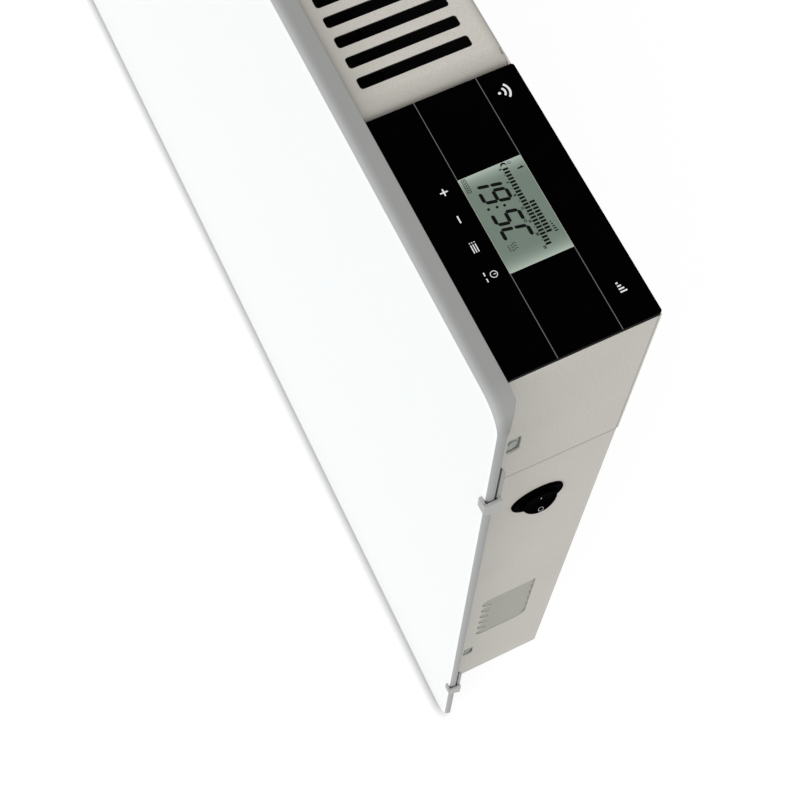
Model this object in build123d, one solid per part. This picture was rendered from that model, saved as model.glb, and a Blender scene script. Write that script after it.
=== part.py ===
from build123d import *
import math
import os

# Wall panel convector heater, in millimetres. +X is the user's right, +Y points
# into the wall, +Z is up. The origin is the centre of the bolt pattern of the
# wall frame, on the wall's surface.

# ---- Front panel -------------------------------------------------------------
panel_width = 780.0
panel_height = 504.0
panel_depth = 9.0         # front face to the front of the casing
panel_sheet = 1.2
panel_corner = 13.7       # outer radius of the four corners
panel_edge = 2.5          # rounded edge of the front face
flange_depth = 3.4        # depth of the side and bottom flanges
flange_run = 15.0         # height over which the deep top flange tapers off
side_overhang = 13.3      # panel beyond the casing, at each side
top_overhang = 1.2        # panel above the casing
bottom_overhang = 40.8    # panel below the casing

# ---- Casing ------------------------------------------------------------------
body_depth = 57.0
case_sheet = 0.8
rear_sheet = 0.8
grille_sheet = 1.0
wall_gap = 25.4           # air gap between the rear sheet and the wall
hem = 13.0                # depth of the folded edges of the grilles
cheek_wall = 2.5
cheek_lip = 14.0          # width of the turned-in edges of the cheeks
lip_wall = 2.0
cap_length = 10.0         # top of the left cheek, beside the grille
rear_inset = 3.0          # rear sheet behind the cheeks
fit = 0.2                 # clearance between casing parts that meet

# ---- Top and bottom slots ------------------------------------------------------
slot_width = 5.07
slot_pitch = 9.39
slot_length = 43.8
slot_inset = 4.7          # front edge of the casing to the front end of a slot
slot_round = 1.3
slot_margin = 12.6        # control glass to the first slot
end_roll = 7.6            # outer radius of the grille's rolled end
roll_relief = (2.6, 0.9)  # notch where the rear fold stops short of the rolled end

# ---- Control head --------------------------------------------------------------
glass_length = 107.4
glass_thick = 2.0
glass_corner = 1.2
lcd_from_side = 33.9
lcd_length = 39.3
lcd_from_front = 18.7
lcd_width = 24.3
lcd_thick = 4.0
lcd_sunk = 0.1            # face of the display under the face of the glass
lcd_play = 0.05           # display to the edge of its window in the glass
lcd_border = 2.2          # frame beyond the display
lcd_ledge = 3.0           # frame under the edge of the display
lcd_floor = 1.0
head_skirt = 24.0
deck_wall = 2.0
deck_room = 0.5           # round what passes through the deck
seam_front = 103.6        # drop of the nearly level seam at the front of the side
seam_back = 105.5         # and at its back
seam_gap = 0.5
lap_wall = 1.2            # strip behind the seam
lap_below = 8.0
lap_above = 5.0
board_drop = 8.4          # top of the casing to the top of the control board
board_thick = 1.6
board_room = 1.0          # control board to the walls of the head
board_hole_inset = 5.0
boss_radius = 3.2
key_from_side = (71.0, 59.5, 47.7, 35.5)
key_from_front = 12.4
key_pad_radius = 3.5
radio_card = (18.0, 16.0, 1.0)
radio_can = (12.0, 12.0, 2.2)
radio_inset = (14.0, 4.0)  # board's left and rear edges to the radio card
radio_rim = 2.0            # card round the can

# ---- Windows, vent and switch in the side ---------------------------------------
window_front = 5.8
window_width = 5.5
window_height = 15.0
window_drop = 61.6        # top of the casing to the upper window
window_rise = 50.0        # bottom of the casing to the lower window
window_low_rounds = (2.3, 3.0)  # lower front and lower back corner
window_high_round = 1.4
vent_front = 11.3
vent_width = 30.0
vent_rise = 91.0          # bottom of the casing to the vent
vent_low_round = 6.5      # lower back corner of the vent
louvre_pitch = 11.9
louvre_count = 6
louvre_depth = 2.0
louvre_sink = 0.3         # foot of a louvre behind the face of the side
louvre_slit = 1.6
louvre_rim = 1.0          # slit shorter than its louvre, at the back
louvre_round = 5.4        # round front end of each louvre
switch_from_front = 26.5
switch_drop = 149.9
bezel_radius = 12.1
bezel_thick = 1.2
bezel_round = 0.9
barrel_radius = 9.8
barrel_play = 0.2
barrel_depth = 18.0
rocker_radius = 8.6       # the rocker is a slice of a ball about its pivot
rocker_gap = 0.4
rocker_height = 4.4       # pivot to the two ends of its face
rocker_dish = 0.8         # hollow in the face
rocker_root = 3.0         # pivot to its inner face
rocker_tilt = 10.0        # degrees at rest, with the upper half pressed in
pivot_inset = 0.4         # pivot behind the face of the side
pivot_radius = 0.8
pivot_reach = 9.5
pivot_play = 0.08
pivot_end_play = 0.3
blade_length = 8.0
blade_thick = 0.8
blade_width = 6.0
blade_pitch = 6.0

# ---- Screws ------------------------------------------------------------------------
screw_radius = 1.5
screw_head = 3.0
screw_head_thick = 1.6
screw_play = 0.1          # round a screw in a clearance hole
pilot_play = 0.05         # round a screw in the hole that it is driven into
clip_screw_bite = 4.0     # screw behind the sheets that it holds
rear_screw_length = 6.0
rear_screw_inset = 7.7
rear_screw_drops = (70.0, 171.0, 291.0)
rear_screw_rise = 31.0
grille_screw_shares = (0.2, 0.55, 0.9)
board_screw_length = 5.0
lug_screw_length = 5.0
lug_head = 1.8
lug_head_thick = 0.9

# ---- Panel fixings ---------------------------------------------------------------
clip_sheet = 1.2
clip_height = 47.0
clip_drop = 45.0          # top of the casing to the upper clips
clip_rise = 37.0          # bottom of the casing to the lower clips
clip_foot = 18.0          # face of the side to the end of the clip's foot
clip_joggle = 7.0         # face of the side to the joggle between foot and leg
clip_stand = 3.0          # front of the casing to the back of the leg and lip
clip_leg_drop = 18.0      # top of the clip to the top of its leg
clip_taper = (0.4, 6.0)   # width of the lip's tip, and height over which it widens
clip_screw_shares = (0.25, 0.75)
wrap_rise = 6.5           # foot of the leg to the wrap's lower front corner
wrap_height = 9.0
finger_height = 8.2
finger_reach = 3.7
clip_gap = 0.4
lug_inset = 1.2           # face of the lug behind the face of the side
lug_reach = 14.0          # lug behind the front of the casing
lug_height = 16.0
lug_room = 0.3            # round a lug and its ear where they pass a moulding
rail_height = 24.0
rail_lip = 10.0
rail_inset = 40.0         # face of the side to the end of a rail
rail_drop = 138.0         # top of the casing to the upper rail
rail_rise = 130.0         # bottom of the casing to the lower rail

# ---- Wall frame --------------------------------------------------------------------
bolt_spacing_x = 440.0
bolt_spacing_z = 260.0
bolt_hole_radius = 3.25
frame_sheet = 1.5
frame_rail_width = 36.0
frame_end = 20.0          # bolt to the end of its rail
frame_foot = 28.0
cross_bar_height = 30.0
frame_clear = 0.3         # wall frame to rear sheet
hook_from_end = 32.0
hook_width = 20.0
hook_neck = 2.0
hook_tip = 8.0
hook_plate = 2.0
hook_plate_width = 52.0
hook_plate_above = 12.0
hook_plate_below = 26.0
hook_throat = 0.8
hook_side_play = 2.0
hook_under_play = 3.0
lift = 12.0               # travel that frees the heater from the hooks
spacer_radius = 9.0
spacer_inset = 76.7
spacer_rise = 60.0

# ---- Heating chamber ------------------------------------------------------------------
baffle_sheet = 1.2
baffle_from_glass = 14.3
baffle_from_left = 20.5
baffle_room = 1.0         # baffle to the hems of the grilles
element_rise = 91.0       # bottom of the casing to the heating rod
element_rod_radius = 4.0
element_hub_radius = 8.0
element_play = 0.1
fin_depth = 32.0
fin_thick = 2.0
fin_count = 5
fin_pitch = 12.0
fin_end_gap = 15.0
rod_end = 18.0            # rod beyond each baffle
bush_radius = 7.0
bush_flange = 2.5
bush_reach = 3.0          # bush inside the chamber
bush_play = 0.1
bush_bore_play = 0.05
shield_clear = 1.5        # fins to the heat shield
shield_sheet = 0.6
shield_height = 150.0
shield_tab = 6.0
deflector_drop = 15.0
deflector_rise = 26.0
deflector_reach = 30.0
cutout_radius = 8.0
cutout_height = 9.0
cutout_above_rod = 62.0
cutout_pitch = 25.0
cutout_inset = 14.0
cutout_bracket_length = 52.0
cutout_bracket_width = 28.0
cutout_bracket_foot = 16.0
cutout_bracket_sheet = 1.0

# ---- Electrical bay -------------------------------------------------------------------
gland_radius = 6.0
gland_bore = 3.6
gland_from_side = 44.0
gland_rise = 34.0
gland_flange = 3.0        # both the flange's width and its thickness
gland_reach = 12.0        # gland inside the rear sheet
gland_collar = 2.0
clamp_size = (32.0, 8.0, 10.0)
clamp_above_gland = 16.0
terminal_size = (36.0, 16.0, 18.0)
terminal_above_gland = 44.0
terminal_pitch = 11.0
terminal_well = 6.0
terminal_well_radius = 3.0
terminal_screw_radius = 2.6
terminal_screw_length = 3.0
earth_from_gland = (34.0, 52.0)
earth_radius = 2.0
earth_length = 12.0
earth_nut_radius = 4.0
earth_nut_thick = 3.2
board_stand = 6.0         # supply board off the right baffle
spacer_size = 3.2
spacer_hole_inset = 6.0
supply_margin = 6.0       # supply board to the front and rear sheets
supply_drop = 71.0
supply_height = 130.0
# On the supply board: offsets from its front and lower edges, then out, deep, high.
relay_at = (6.0, 14.0)
relay_size = (20.0, 16.0, 29.0)
transformer_at = (5.0, 84.0)
transformer_core = (22.0, 30.0, 26.0)
transformer_coil = (18.0, 22.0, 36.0)
filter_at = (24.0, 24.0)
filter_size = (16.0, 9.0, 20.0)
case_round = 1.0
can_at = (14.0, 62.0)
can_radius = 6.5
can_length = 22.0
socket_at = (2.0, 20.0)
socket_size = (12.0, 3.0, 6.0)
socket_pitch = 12.0
sensor_radius = 2.5
sensor_length = 26.0
sensor_hole_play = 0.1
sensor_off_wall = 5.0
sensor_above_vent = 12.0   # top of the vent to the top of the sensor's stem
holder_size = (9.0, 10.0, 8.0)
lead_radius = 1.1
lead_gap = 0.1            # ends of the sensor's lead
terminal_exit = 16.0      # straight ends of the leads
rod_exit = 14.0
socket_exit = 16.0
blade_exit = 20.0
rod_lead_offset = 2.0     # each lead off the middle of the rod's end
sensor_bow = (12.0, 15.0)  # how far the sensor's lead bows inwards and to the back

over = 1.0                # how far a cutter runs past what it cuts

# ---- Derived places ----------------------------------------------------------------------
body_height = panel_height - top_overhang - bottom_overhang
side_x = panel_width / 2 - side_overhang
back_y = -wall_gap - rear_sheet
front_y = back_y - body_depth
face_y = front_y - panel_depth
top_z = body_height / 2
bottom_z = -top_z
panel_mid = (top_overhang - bottom_overhang) / 2
inner_front_y = front_y + case_sheet
glass_left = side_x - glass_length
grille_left = -side_x + cap_length
deck_z = top_z - glass_thick
board_z = top_z - board_drop
switch_y = front_y + switch_from_front
switch_z = top_z - switch_drop
pivot_x = side_x - pivot_inset
window_lows = (top_z - window_drop - window_height, bottom_z + window_rise)
hole_y = front_y + window_front + window_width / 2
clip_lows = (top_z - clip_drop - clip_height, bottom_z + clip_rise)
baffle_right_x = glass_left - baffle_from_glass
baffle_left_x = -side_x + baffle_from_left
element_y = (inner_front_y + back_y) / 2
element_z = bottom_z + element_rise
cutout_z = element_z + cutout_above_rod
gland_x = side_x - gland_from_side
gland_z = bottom_z + gland_rise
supply_x = baffle_right_x + baffle_sheet + board_stand
supply_y = (inner_front_y + supply_margin, back_y - supply_margin)
supply_z = (top_z - supply_drop - supply_height, top_z - supply_drop)
rail_x = (bolt_spacing_x - frame_foot - frame_rail_width) / 2
frame_half_height = bolt_spacing_z / 2 + frame_end
hook_z = frame_half_height - hook_from_end
sensor_x = side_x - cheek_wall - sensor_off_wall
sensor_y = front_y + vent_front + vent_width / 2
vent_top = bottom_z + vent_rise + louvre_count * louvre_pitch


# ---- Small helpers --------------------------------------------------------------------------
def block(x, y, z):
    """Box between three pairs of (low, high) coordinates."""
    size = [high - low for low, high in (x, y, z)]
    middle = [(high + low) / 2 for low, high in (x, y, z)]
    return Pos(*middle) * Box(*size)


def rod(start, direction, radius, length):
    """Round bar that starts at a point and runs along a direction."""
    return Plane(start, z_dir=direction) * Pos(0, 0, length / 2) * Cylinder(radius, length)


def side_sheet(points, x):
    """Plate of uniform thickness in the side plane, from (y, z) points."""
    outline = make_face(Polyline(*[(0, y, z) for y, z in points], close=True))
    return Pos(x[0], 0, 0) * extrude(outline, amount=x[1] - x[0], dir=(1, 0, 0))


def side_strip(y, low, high, x):
    """Plate between two depths. Its lower and upper edges are functions of the depth."""
    return side_sheet([(y[0], low(y[0])), (y[1], low(y[1])), (y[1], high(y[1])), (y[0], high(y[0]))], x)


def screw(start, direction, shank):
    """Pan-head screw. The start is under the head and the shank runs along the direction."""
    back = tuple(-v for v in direction)
    return rod(start, direction, screw_radius, shank) + rod(start, back, screw_head, screw_head_thick)


def group(solids):
    return Compound(children=list(solids))


# ---- Front panel -----------------------------------------------------------------------------
def panel_slab(inset, y_low, y_high, edge):
    """Rounded rectangular slab of the panel's outline, less an inset all round."""
    outline = RectangleRounded(
        panel_width - 2 * inset, panel_height - 2 * inset, panel_corner - inset
    )
    plane = Plane((0, y_low, panel_mid), x_dir=(1, 0, 0), z_dir=(0, 1, 0))
    slab = extrude(plane * outline, amount=y_high - y_low)
    return fillet(slab.faces().sort_by(Axis.Y)[0].edges(), edge)


def front_panel():
    """Pressed tray. Its top flange reaches the casing, the others are shallow."""
    tray = panel_slab(0, face_y, front_y, panel_edge)
    tray -= panel_slab(panel_sheet, face_y + panel_sheet, front_y + over, panel_edge - panel_sheet)
    shallow = face_y + flange_depth
    start = top_z - top_overhang / 2
    bottom = bottom_z - bottom_overhang - over
    step = (front_y - shallow) / 2
    trim = [
        (front_y + over, start),
        (front_y, start),
        (shallow + step * 0.85, start - flange_run * 0.3),
        (shallow + step * 0.15, start - flange_run * 0.7),
        (shallow, start - flange_run),
        (shallow, bottom),
        (front_y + over, bottom),
    ]
    return tray - side_sheet(trim, (-panel_width, panel_width))


def panel_rail(low):
    """Top-hat rail, bonded to the back of the panel and resting on the casing."""
    high = low + rail_height
    length = side_x - rail_inset
    back = face_y + panel_sheet
    slot = (low + panel_sheet, high - panel_sheet)
    outer = block((-length, length), (back, front_y), (low, high))
    lips = block((-length, length), (back, back + panel_sheet), (low - rail_lip, high + rail_lip))
    hollow = block((-length - over, length + over), (back - over, front_y - panel_sheet), slot)
    return outer + lips - hollow


def clip_screw_places():
    """Centres of the eight clip screws as (x, z)."""
    return [
        (side * (side_x - (clip_foot + clip_joggle) / 2), low + clip_height * share)
        for side in (-1, 1) for low in clip_lows for share in clip_screw_shares
    ]


def clip_screw_room(play):
    """Holes for the clip screws."""
    depth = clip_sheet + case_sheet + clip_screw_bite
    return group(rod((x, front_y - clip_sheet - over, z), (0, 1, 0), screw_radius + play, depth + 2 * over)
                 for x, z in clip_screw_places())


def panel_clip(side, low):
    """Bent clip. A foot on the casing, a joggle and a leg reach out to the panel's edge, and
    a lip, a wrap and a finger hold it."""
    flange_x = side_x + side_overhang
    joggle_x = side_x - clip_joggle
    high = low + clip_height
    lip_y = (face_y + flange_depth + clip_gap, front_y - clip_stand)
    leg_y = (lip_y[1] - clip_sheet, lip_y[1])
    leg_z = (low, high - clip_leg_drop)
    clip = block((side_x - clip_foot, joggle_x), (front_y - clip_sheet, front_y), (low, high))
    clip += block((joggle_x - clip_sheet, joggle_x), (leg_y[0], front_y), leg_z)
    clip += block((joggle_x - clip_sheet, flange_x), leg_y, leg_z)
    tip, taper = clip_taper
    clip += side_sheet([(lip_y[0], low), (lip_y[1], low), (lip_y[1], high - taper),
                        (lip_y[0] + tip, high), (lip_y[0], high)], (flange_x - clip_sheet, flange_x))
    wrap_x = (flange_x + clip_gap, flange_x + clip_gap + clip_sheet)
    finger_y = (face_y - clip_sheet, face_y)
    wrap_z = (low + wrap_rise, low + wrap_rise + wrap_height)
    clip += block((flange_x - clip_sheet, wrap_x[1]), leg_y, (low, wrap_z[1]))
    clip += side_sheet([(finger_y[0], wrap_z[0]), (lip_y[1], low), (lip_y[1], wrap_z[1]),
                        (finger_y[0], wrap_z[1])], wrap_x)
    clip += block((wrap_x[1] - finger_reach - clip_sheet, wrap_x[1]), finger_y,
                  (wrap_z[0], wrap_z[0] + finger_height))
    if side < 0:
        clip = mirror(clip, about=Plane.YZ)
    return clip - clip_screw_room(screw_play) - lug_room_cutter()


def clip_screws():
    shank = clip_sheet + case_sheet + clip_screw_bite
    return group(screw((x, front_y - clip_sheet, z), (0, 1, 0), shank)
                 for x, z in clip_screw_places())


def lug_boxes(off, thick, y, room):
    """Box at each window: its offset inwards from the lug's face, its thickness and its depths."""
    boxes = []
    for side in (-1, 1):
        x = sorted(side * (side_x - lug_inset - off - t) for t in (-room, thick + room))
        for low in window_lows:
            middle = low + window_height / 2
            half = lug_height / 2 + room
            boxes.append(block(x, y, (middle - half, middle + half)))
    return boxes


def lug_holes(radius):
    """Holes across the lugs and ears, one in line with each window."""
    return group(rod((side * side_x, hole_y, low + window_height / 2), (-side, 0, 0), radius, cheek_lip)
                 for side in (-1, 1) for low in window_lows)


def lug_room_cutter():
    """Room for the lugs and ears where they pass the clips and the edges of the cheeks."""
    y = (face_y + panel_edge, front_y + lug_reach + lug_room)
    return group(lug_boxes(0, panel_sheet + fit + grille_sheet, y, lug_room))


def panel_lugs():
    """Welded tabs that pass through the casing's front, one behind each window."""
    y = (face_y + panel_sheet, front_y + lug_reach)
    holes = lug_holes(screw_radius + screw_play)
    return group(lug - holes for lug in lug_boxes(0, panel_sheet, y, 0))


def lug_screws():
    """Screws that hold the lugs, reached through the side windows."""
    screws = []
    for side in (-1, 1):
        for low in window_lows:
            start = (side * (side_x - lug_inset), hole_y, low + window_height / 2)
            shank = rod(start, (-side, 0, 0), screw_radius, lug_screw_length)
            screws.append(shank + rod(start, (side, 0, 0), lug_head, lug_head_thick))
    return group(screws)


# ---- Casing sheets ------------------------------------------------------------------------------
def slot_cutter(x_first, x_last, z_low):
    """Cutter for a row of cross slots that starts at x_first and runs towards -X."""
    count = int((x_first - x_last) / slot_pitch)
    y = front_y + slot_inset + slot_length / 2
    outline = RectangleRounded(slot_width, slot_length, slot_round)
    slots = [Pos(x_first - slot_width / 2 - i * slot_pitch, y, z_low - over) * outline
             for i in range(count)]
    return extrude(Compound(children=slots), amount=grille_sheet + 2 * over, dir=(0, 0, 1))


def top_grille():
    """Folded sheet with cross slots, rolled down beside the control glass."""
    right = glass_left - fit
    flat = (grille_left, right - end_roll)
    y = (front_y, back_y)
    top = block(flat, y, (top_z - grille_sheet, top_z))
    roll_axis = (right - end_roll, front_y, top_z - end_roll)
    tube = rod(roll_axis, (0, 1, 0), end_roll, body_depth)
    tube -= rod(roll_axis, (0, 1, 0), end_roll - grille_sheet, body_depth)
    roll = tube & block((right - end_roll, right), y, (top_z - end_roll, top_z))
    drop = block((right - grille_sheet, right), y, (top_z - hem, top_z - end_roll))
    front = block(flat, (front_y, front_y + grille_sheet), (top_z - hem, top_z))
    rear = block(flat, (back_y - grille_sheet, back_y), (top_z - hem, top_z))
    grille = top + roll + drop + front + rear
    grille -= slot_cutter(glass_left - slot_margin, grille_left + slot_margin, top_z - grille_sheet)
    rear_edge = grille.edges().filter_by(Axis.X).group_by(Axis.Z)[-1].sort_by(Axis.Y)[-1]
    grille = fillet(rear_edge, grille_sheet * 0.8)
    notch = block((flat[1], flat[1] + roll_relief[0]), (back_y - roll_relief[1], back_y + over),
                  (top_z - end_roll, top_z + over))
    return drill_rear(grille - notch)


def bottom_grille():
    """Air inlet: a folded sheet with the same slots, between the two cheeks."""
    x = (-side_x + cheek_lip + fit, side_x - cheek_lip - fit)
    floor = block(x, (inner_front_y, back_y), (bottom_z, bottom_z + grille_sheet))
    front = block(x, (inner_front_y, inner_front_y + grille_sheet), (bottom_z, bottom_z + hem))
    rear = block(x, (back_y - grille_sheet, back_y), (bottom_z, bottom_z + hem))
    slots = slot_cutter(baffle_right_x - slot_margin, baffle_left_x + slot_margin, bottom_z)
    return drill_rear(floor + front + rear - slots)


def front_plate():
    """Flat sheet behind the front panel, with ears that take the lug screws."""
    plate = block((-side_x + fit, side_x - fit), (front_y, inner_front_y),
                  (bottom_z, top_z - hem - fit))
    for gate in lug_boxes(0, panel_sheet, (front_y - over, inner_front_y + over), fit):
        plate -= gate
    holes = lug_holes(screw_radius + pilot_play)
    for ear in lug_boxes(panel_sheet + fit, grille_sheet, (front_y, front_y + lug_reach), 0):
        plate += ear - holes
    return plate - clip_screw_room(pilot_play)


def rear_screw_places():
    """Screws through the rear sheet as (x, z), along both cheeks and the two grilles."""
    sides = (-side_x + rear_screw_inset, side_x - rear_screw_inset)
    heights = [top_z - drop for drop in rear_screw_drops] + [bottom_z + rear_screw_rise]
    row = [grille_left + (glass_left - grille_left) * share for share in grille_screw_shares]
    places = [(x, z) for x in sides for z in heights]
    return places + [(x, z) for x in row for z in (bottom_z + hem / 2, top_z - hem / 2)]


def drill_rear(shape):
    """Pilot holes of the rear screws in whatever stands behind the rear sheet."""
    for x, z in rear_screw_places():
        shape -= rod((x, back_y + over, z), (0, -1, 0), screw_radius + pilot_play,
                     rear_screw_length + 2 * over)
    return shape


def hook_places():
    """Corner of each hook where the heater rests, as (x, z)."""
    return [(side * rail_x, end * hook_z) for side in (-1, 1) for end in (-1, 1)]


def hook_slots():
    """Slots that hang on the hooks. The upper edge of each rests on its hook's neck."""
    half = hook_width / 2 + hook_side_play
    y = (back_y - hook_plate - over, back_y + rear_sheet + over)
    return group(block((x - half, x + half), y, (z - lift - hook_neck - hook_under_play, z))
                 for x, z in hook_places())


def rear_panel():
    """Rear sheet. It reaches the face of the side above the seam and is inset below it."""
    y = (back_y, back_y + rear_sheet)
    sheet = block((-side_x + rear_inset, side_x - rear_inset), y, (bottom_z + over, deck_z))
    above_seam = (top_z - seam_back + seam_gap, deck_z)
    sheet += block((side_x - rear_inset - over, side_x), y, above_seam)
    for x, z in rear_screw_places():
        sheet -= rod((x, back_y - over, z), (0, 1, 0), screw_radius + screw_play, rear_sheet + 2 * over)
    sheet -= hook_slots()
    return sheet - rod((gland_x, back_y - over, gland_z), (0, 1, 0), gland_radius + screw_play,
                       rear_sheet + 2 * over)


def rear_screws():
    return group(screw((x, back_y + rear_sheet, z), (0, -1, 0), rear_screw_length)
                 for x, z in rear_screw_places())


def hook_plates():
    """Slotted reinforcing plates, spot-welded inside the rear sheet."""
    half = hook_plate_width / 2
    slots = hook_slots()
    return group(block((x - half, x + half), (back_y - hook_plate, back_y),
                       (z - hook_plate_below, z + hook_plate_above)) - slots
                 for x, z in hook_places())


# ---- Cheeks and control head ----------------------------------------------------------------------
def side_window(low):
    """Cutter for a window, with both lower corners and the upper back corner rounded."""
    y = front_y + window_front
    cut = block((side_x - cheek_wall - over, side_x + over), (y, y + window_width),
                (low, low + window_height))
    for end, radius in zip((0, -1), window_low_rounds):
        low_edge = cut.edges().filter_by(Axis.X).group_by(Axis.Z)[0].sort_by(Axis.Y)[end]
        cut = fillet(low_edge, radius)
    high_edge = cut.edges().filter_by(Axis.X).group_by(Axis.Z)[-1].sort_by(Axis.Y)[-1]
    return fillet(high_edge, window_high_round)


def seam_z(y, offset):
    """Height of the seam at a depth y."""
    share = (y - front_y) / body_depth
    return top_z - seam_front - (seam_back - seam_front) * share + offset


def moulded_side(low, high):
    """Outer wall with edges turned in at the front and back, drawn on the right."""
    y = (inner_front_y, back_y)
    lip_x = (side_x - cheek_lip, side_x)
    wall = side_strip(y, low, high, (side_x - cheek_wall, side_x))
    front = side_strip((y[0], y[0] + lip_wall), low, high, lip_x)
    rear = side_strip((y[1] - lip_wall, y[1]), low, high, lip_x)
    return wall + front + rear


def head_housing():
    """Moulded control head: deck under the glass, skirt, and the upper part of the side."""
    x = (glass_left, side_x)
    y = (inner_front_y, back_y)
    skirt_z = top_z - head_skirt
    head = block(x, y, (skirt_z, deck_z))
    head -= block((x[0] + deck_wall, side_x - cheek_wall), (y[0] + deck_wall, y[1] - deck_wall),
                  (skirt_z - over, deck_z - deck_wall))
    head += moulded_side(lambda depth: seam_z(depth, seam_gap / 2), lambda depth: deck_z)
    head -= lug_room_cutter()
    head -= clip_screw_room(pilot_play)
    for bx, by in board_screw_places():
        head += rod((bx, by, board_z), (0, 0, 1), boss_radius, deck_z - deck_wall / 2 - board_z)
    for bx, by in board_screw_places():
        head -= rod((bx, by, board_z - over), (0, 0, 1), screw_radius + pilot_play,
                    board_screw_length - board_thick + 2 * over)
    (lcd_x0, lcd_x1), (lcd_y0, lcd_y1) = lcd_box(deck_room)
    through = (deck_z - deck_wall - over, deck_z + over)
    head -= block((lcd_x0, lcd_x1), (lcd_y0, lcd_y1), through)
    for kx, ky in key_places():
        head -= rod((kx, ky, through[0]), (0, 0, 1), key_pad_radius + deck_room, deck_wall + 2 * over)
    return drill_rear(head - side_window(window_lows[0]))


def louvres():
    """Cutter for the vent. Each louvre is deepest at its top, where it ends in a slit, slopes
    out to just under the face at its foot, and is round at the front."""
    x = (side_x - cheek_wall - over, side_x + over)
    y = (front_y + vent_front, front_y + vent_front + vent_width)
    outline = block(x, y, (vent_top - louvre_count * louvre_pitch, vent_top))
    low_back = outline.edges().filter_by(Axis.X).group_by(Axis.Z)[0].sort_by(Axis.Y)[-1]
    outline = fillet(low_back, vent_low_round)
    cuts = []
    for i in range(louvre_count):
        high = vent_top - i * louvre_pitch
        low = high - louvre_pitch
        profile = make_face(Polyline(
            (side_x + over, y[0], high), (side_x - louvre_depth, y[0], high),
            (side_x - louvre_sink, y[0], low), (side_x + over, y[0], low), close=True,
        ))
        wedge = extrude(profile, amount=vent_width, dir=(0, 1, 0))
        end = block(x, y, (low, high))
        front_edges = end.edges().filter_by(Axis.X).sort_by(Axis.Y)[:2]
        cuts.append(wedge & fillet(front_edges, louvre_round) & outline)
        cuts.append(block(x, (y[0] + louvre_round, y[1] - louvre_rim), (high - louvre_slit, high)))
    return cuts


def cheek(high):
    """Moulded side closed at the bottom. Its upper edge is a function of the depth."""
    shell = moulded_side(lambda depth: bottom_z, high)
    return shell + block((side_x - cheek_lip, side_x), (inner_front_y, back_y),
                         (bottom_z, bottom_z + lip_wall))


def right_cheek():
    """Lower part of the right side, with the switch hole, the vent and a window."""
    shell = cheek(lambda depth: seam_z(depth, -seam_gap / 2))
    lap_y = (inner_front_y + lip_wall + fit, back_y - lip_wall - fit)
    shell += side_strip(lap_y, lambda depth: seam_z(depth, -lap_below),
                        lambda depth: seam_z(depth, lap_above),
                        (side_x - cheek_wall - lap_wall, side_x - cheek_wall))
    shell -= rod((side_x + over, switch_y, switch_z), (-1, 0, 0), barrel_radius + barrel_play,
                 cheek_wall + 2 * over)
    for cut in louvres():
        shell -= cut
    shell -= side_window(window_lows[1])
    shell -= lug_room_cutter()
    return drill_rear(shell - clip_screw_room(pilot_play))


def left_cheek():
    """Left side in one piece, with a cap beside the grille and the two windows."""
    y = (inner_front_y, back_y)
    shell = cheek(lambda depth: top_z)
    shell += block((side_x - cap_length + fit, side_x), y, (top_z - lip_wall, top_z))
    for low in window_lows:
        shell -= side_window(low)
    shell -= block((side_x - cheek_lip - over, side_x - cap_length + fit), (y[0] - over, y[1] + over),
                   (top_z - hem - fit, top_z + over))
    shell = mirror(shell, about=Plane.YZ)
    shell -= lug_room_cutter()
    return drill_rear(shell - clip_screw_room(pilot_play))


def lcd_box(grow):
    """Display window as (low, high) pairs along X and Y, grown by a margin all round."""
    x_high = side_x - lcd_from_side
    y_low = front_y + lcd_from_front
    return ((x_high - lcd_length - grow, x_high + grow), (y_low - grow, y_low + lcd_width + grow))


def key_places():
    return [(side_x - x, front_y + key_from_front) for x in key_from_side]


def control_glass():
    """Black glass plate over the head and the rear sheet, with a window for the display."""
    glass = block((glass_left, side_x), (front_y + fit, back_y + rear_sheet), (deck_z, top_z))
    glass = fillet(glass.edges().filter_by(Axis.Z).sort_by(Axis.Y)[-2:], glass_corner)
    return glass - block(*lcd_box(0), (deck_z - over, top_z + over))


def lcd_module():
    """Display cell. Its face is just under the face of the glass."""
    face = top_z - lcd_sunk
    return block(*lcd_box(-lcd_play), (face - lcd_thick, face))


def lcd_frame():
    """Moulded tray that holds the display over the control board."""
    high = top_z - lcd_sunk - lcd_thick
    tray = block(*lcd_box(lcd_border), (board_z, high))
    return tray - block(*lcd_box(-lcd_ledge), (board_z - over, high - lcd_floor))


def board_box():
    margin = deck_wall + board_room
    return ((glass_left + margin, side_x - cheek_wall - board_room),
            (inner_front_y + margin, back_y - margin))


def board_screw_places():
    (x0, x1), (y0, y1) = board_box()
    inset = board_hole_inset
    return [(x, y) for x in (x0 + inset, x1 - inset) for y in (y0 + inset, y1 - inset)]


def control_board():
    """Circuit board under the deck of the head."""
    board = block(*board_box(), (board_z - board_thick, board_z))
    for x, y in board_screw_places():
        board -= rod((x, y, board_z + over), (0, 0, -1), screw_radius + screw_play,
                     board_thick + 2 * over)
    return board


def board_screws():
    return group(screw((x, y, board_z - board_thick), (0, 0, 1), board_screw_length)
                 for x, y in board_screw_places())


def touch_pads():
    """Conductive pads that carry the touch of the four keys to the board."""
    return group(rod((x, y, board_z), (0, 0, 1), key_pad_radius, deck_z - board_z)
                 for x, y in key_places())


def radio_module():
    """Shielded radio module under the back of the board."""
    (x0, _), (_, y1) = board_box()
    left = x0 + radio_inset[0]
    rear = y1 - radio_inset[1]
    under = board_z - board_thick
    card = block((left, left + radio_card[0]), (rear - radio_card[1], rear), (under - radio_card[2], under))
    can_top = under - radio_card[2]
    can = block((left + radio_rim, left + radio_rim + radio_can[0]),
                (rear - radio_rim - radio_can[1], rear - radio_rim), (can_top - radio_can[2], can_top))
    return card + can


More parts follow.
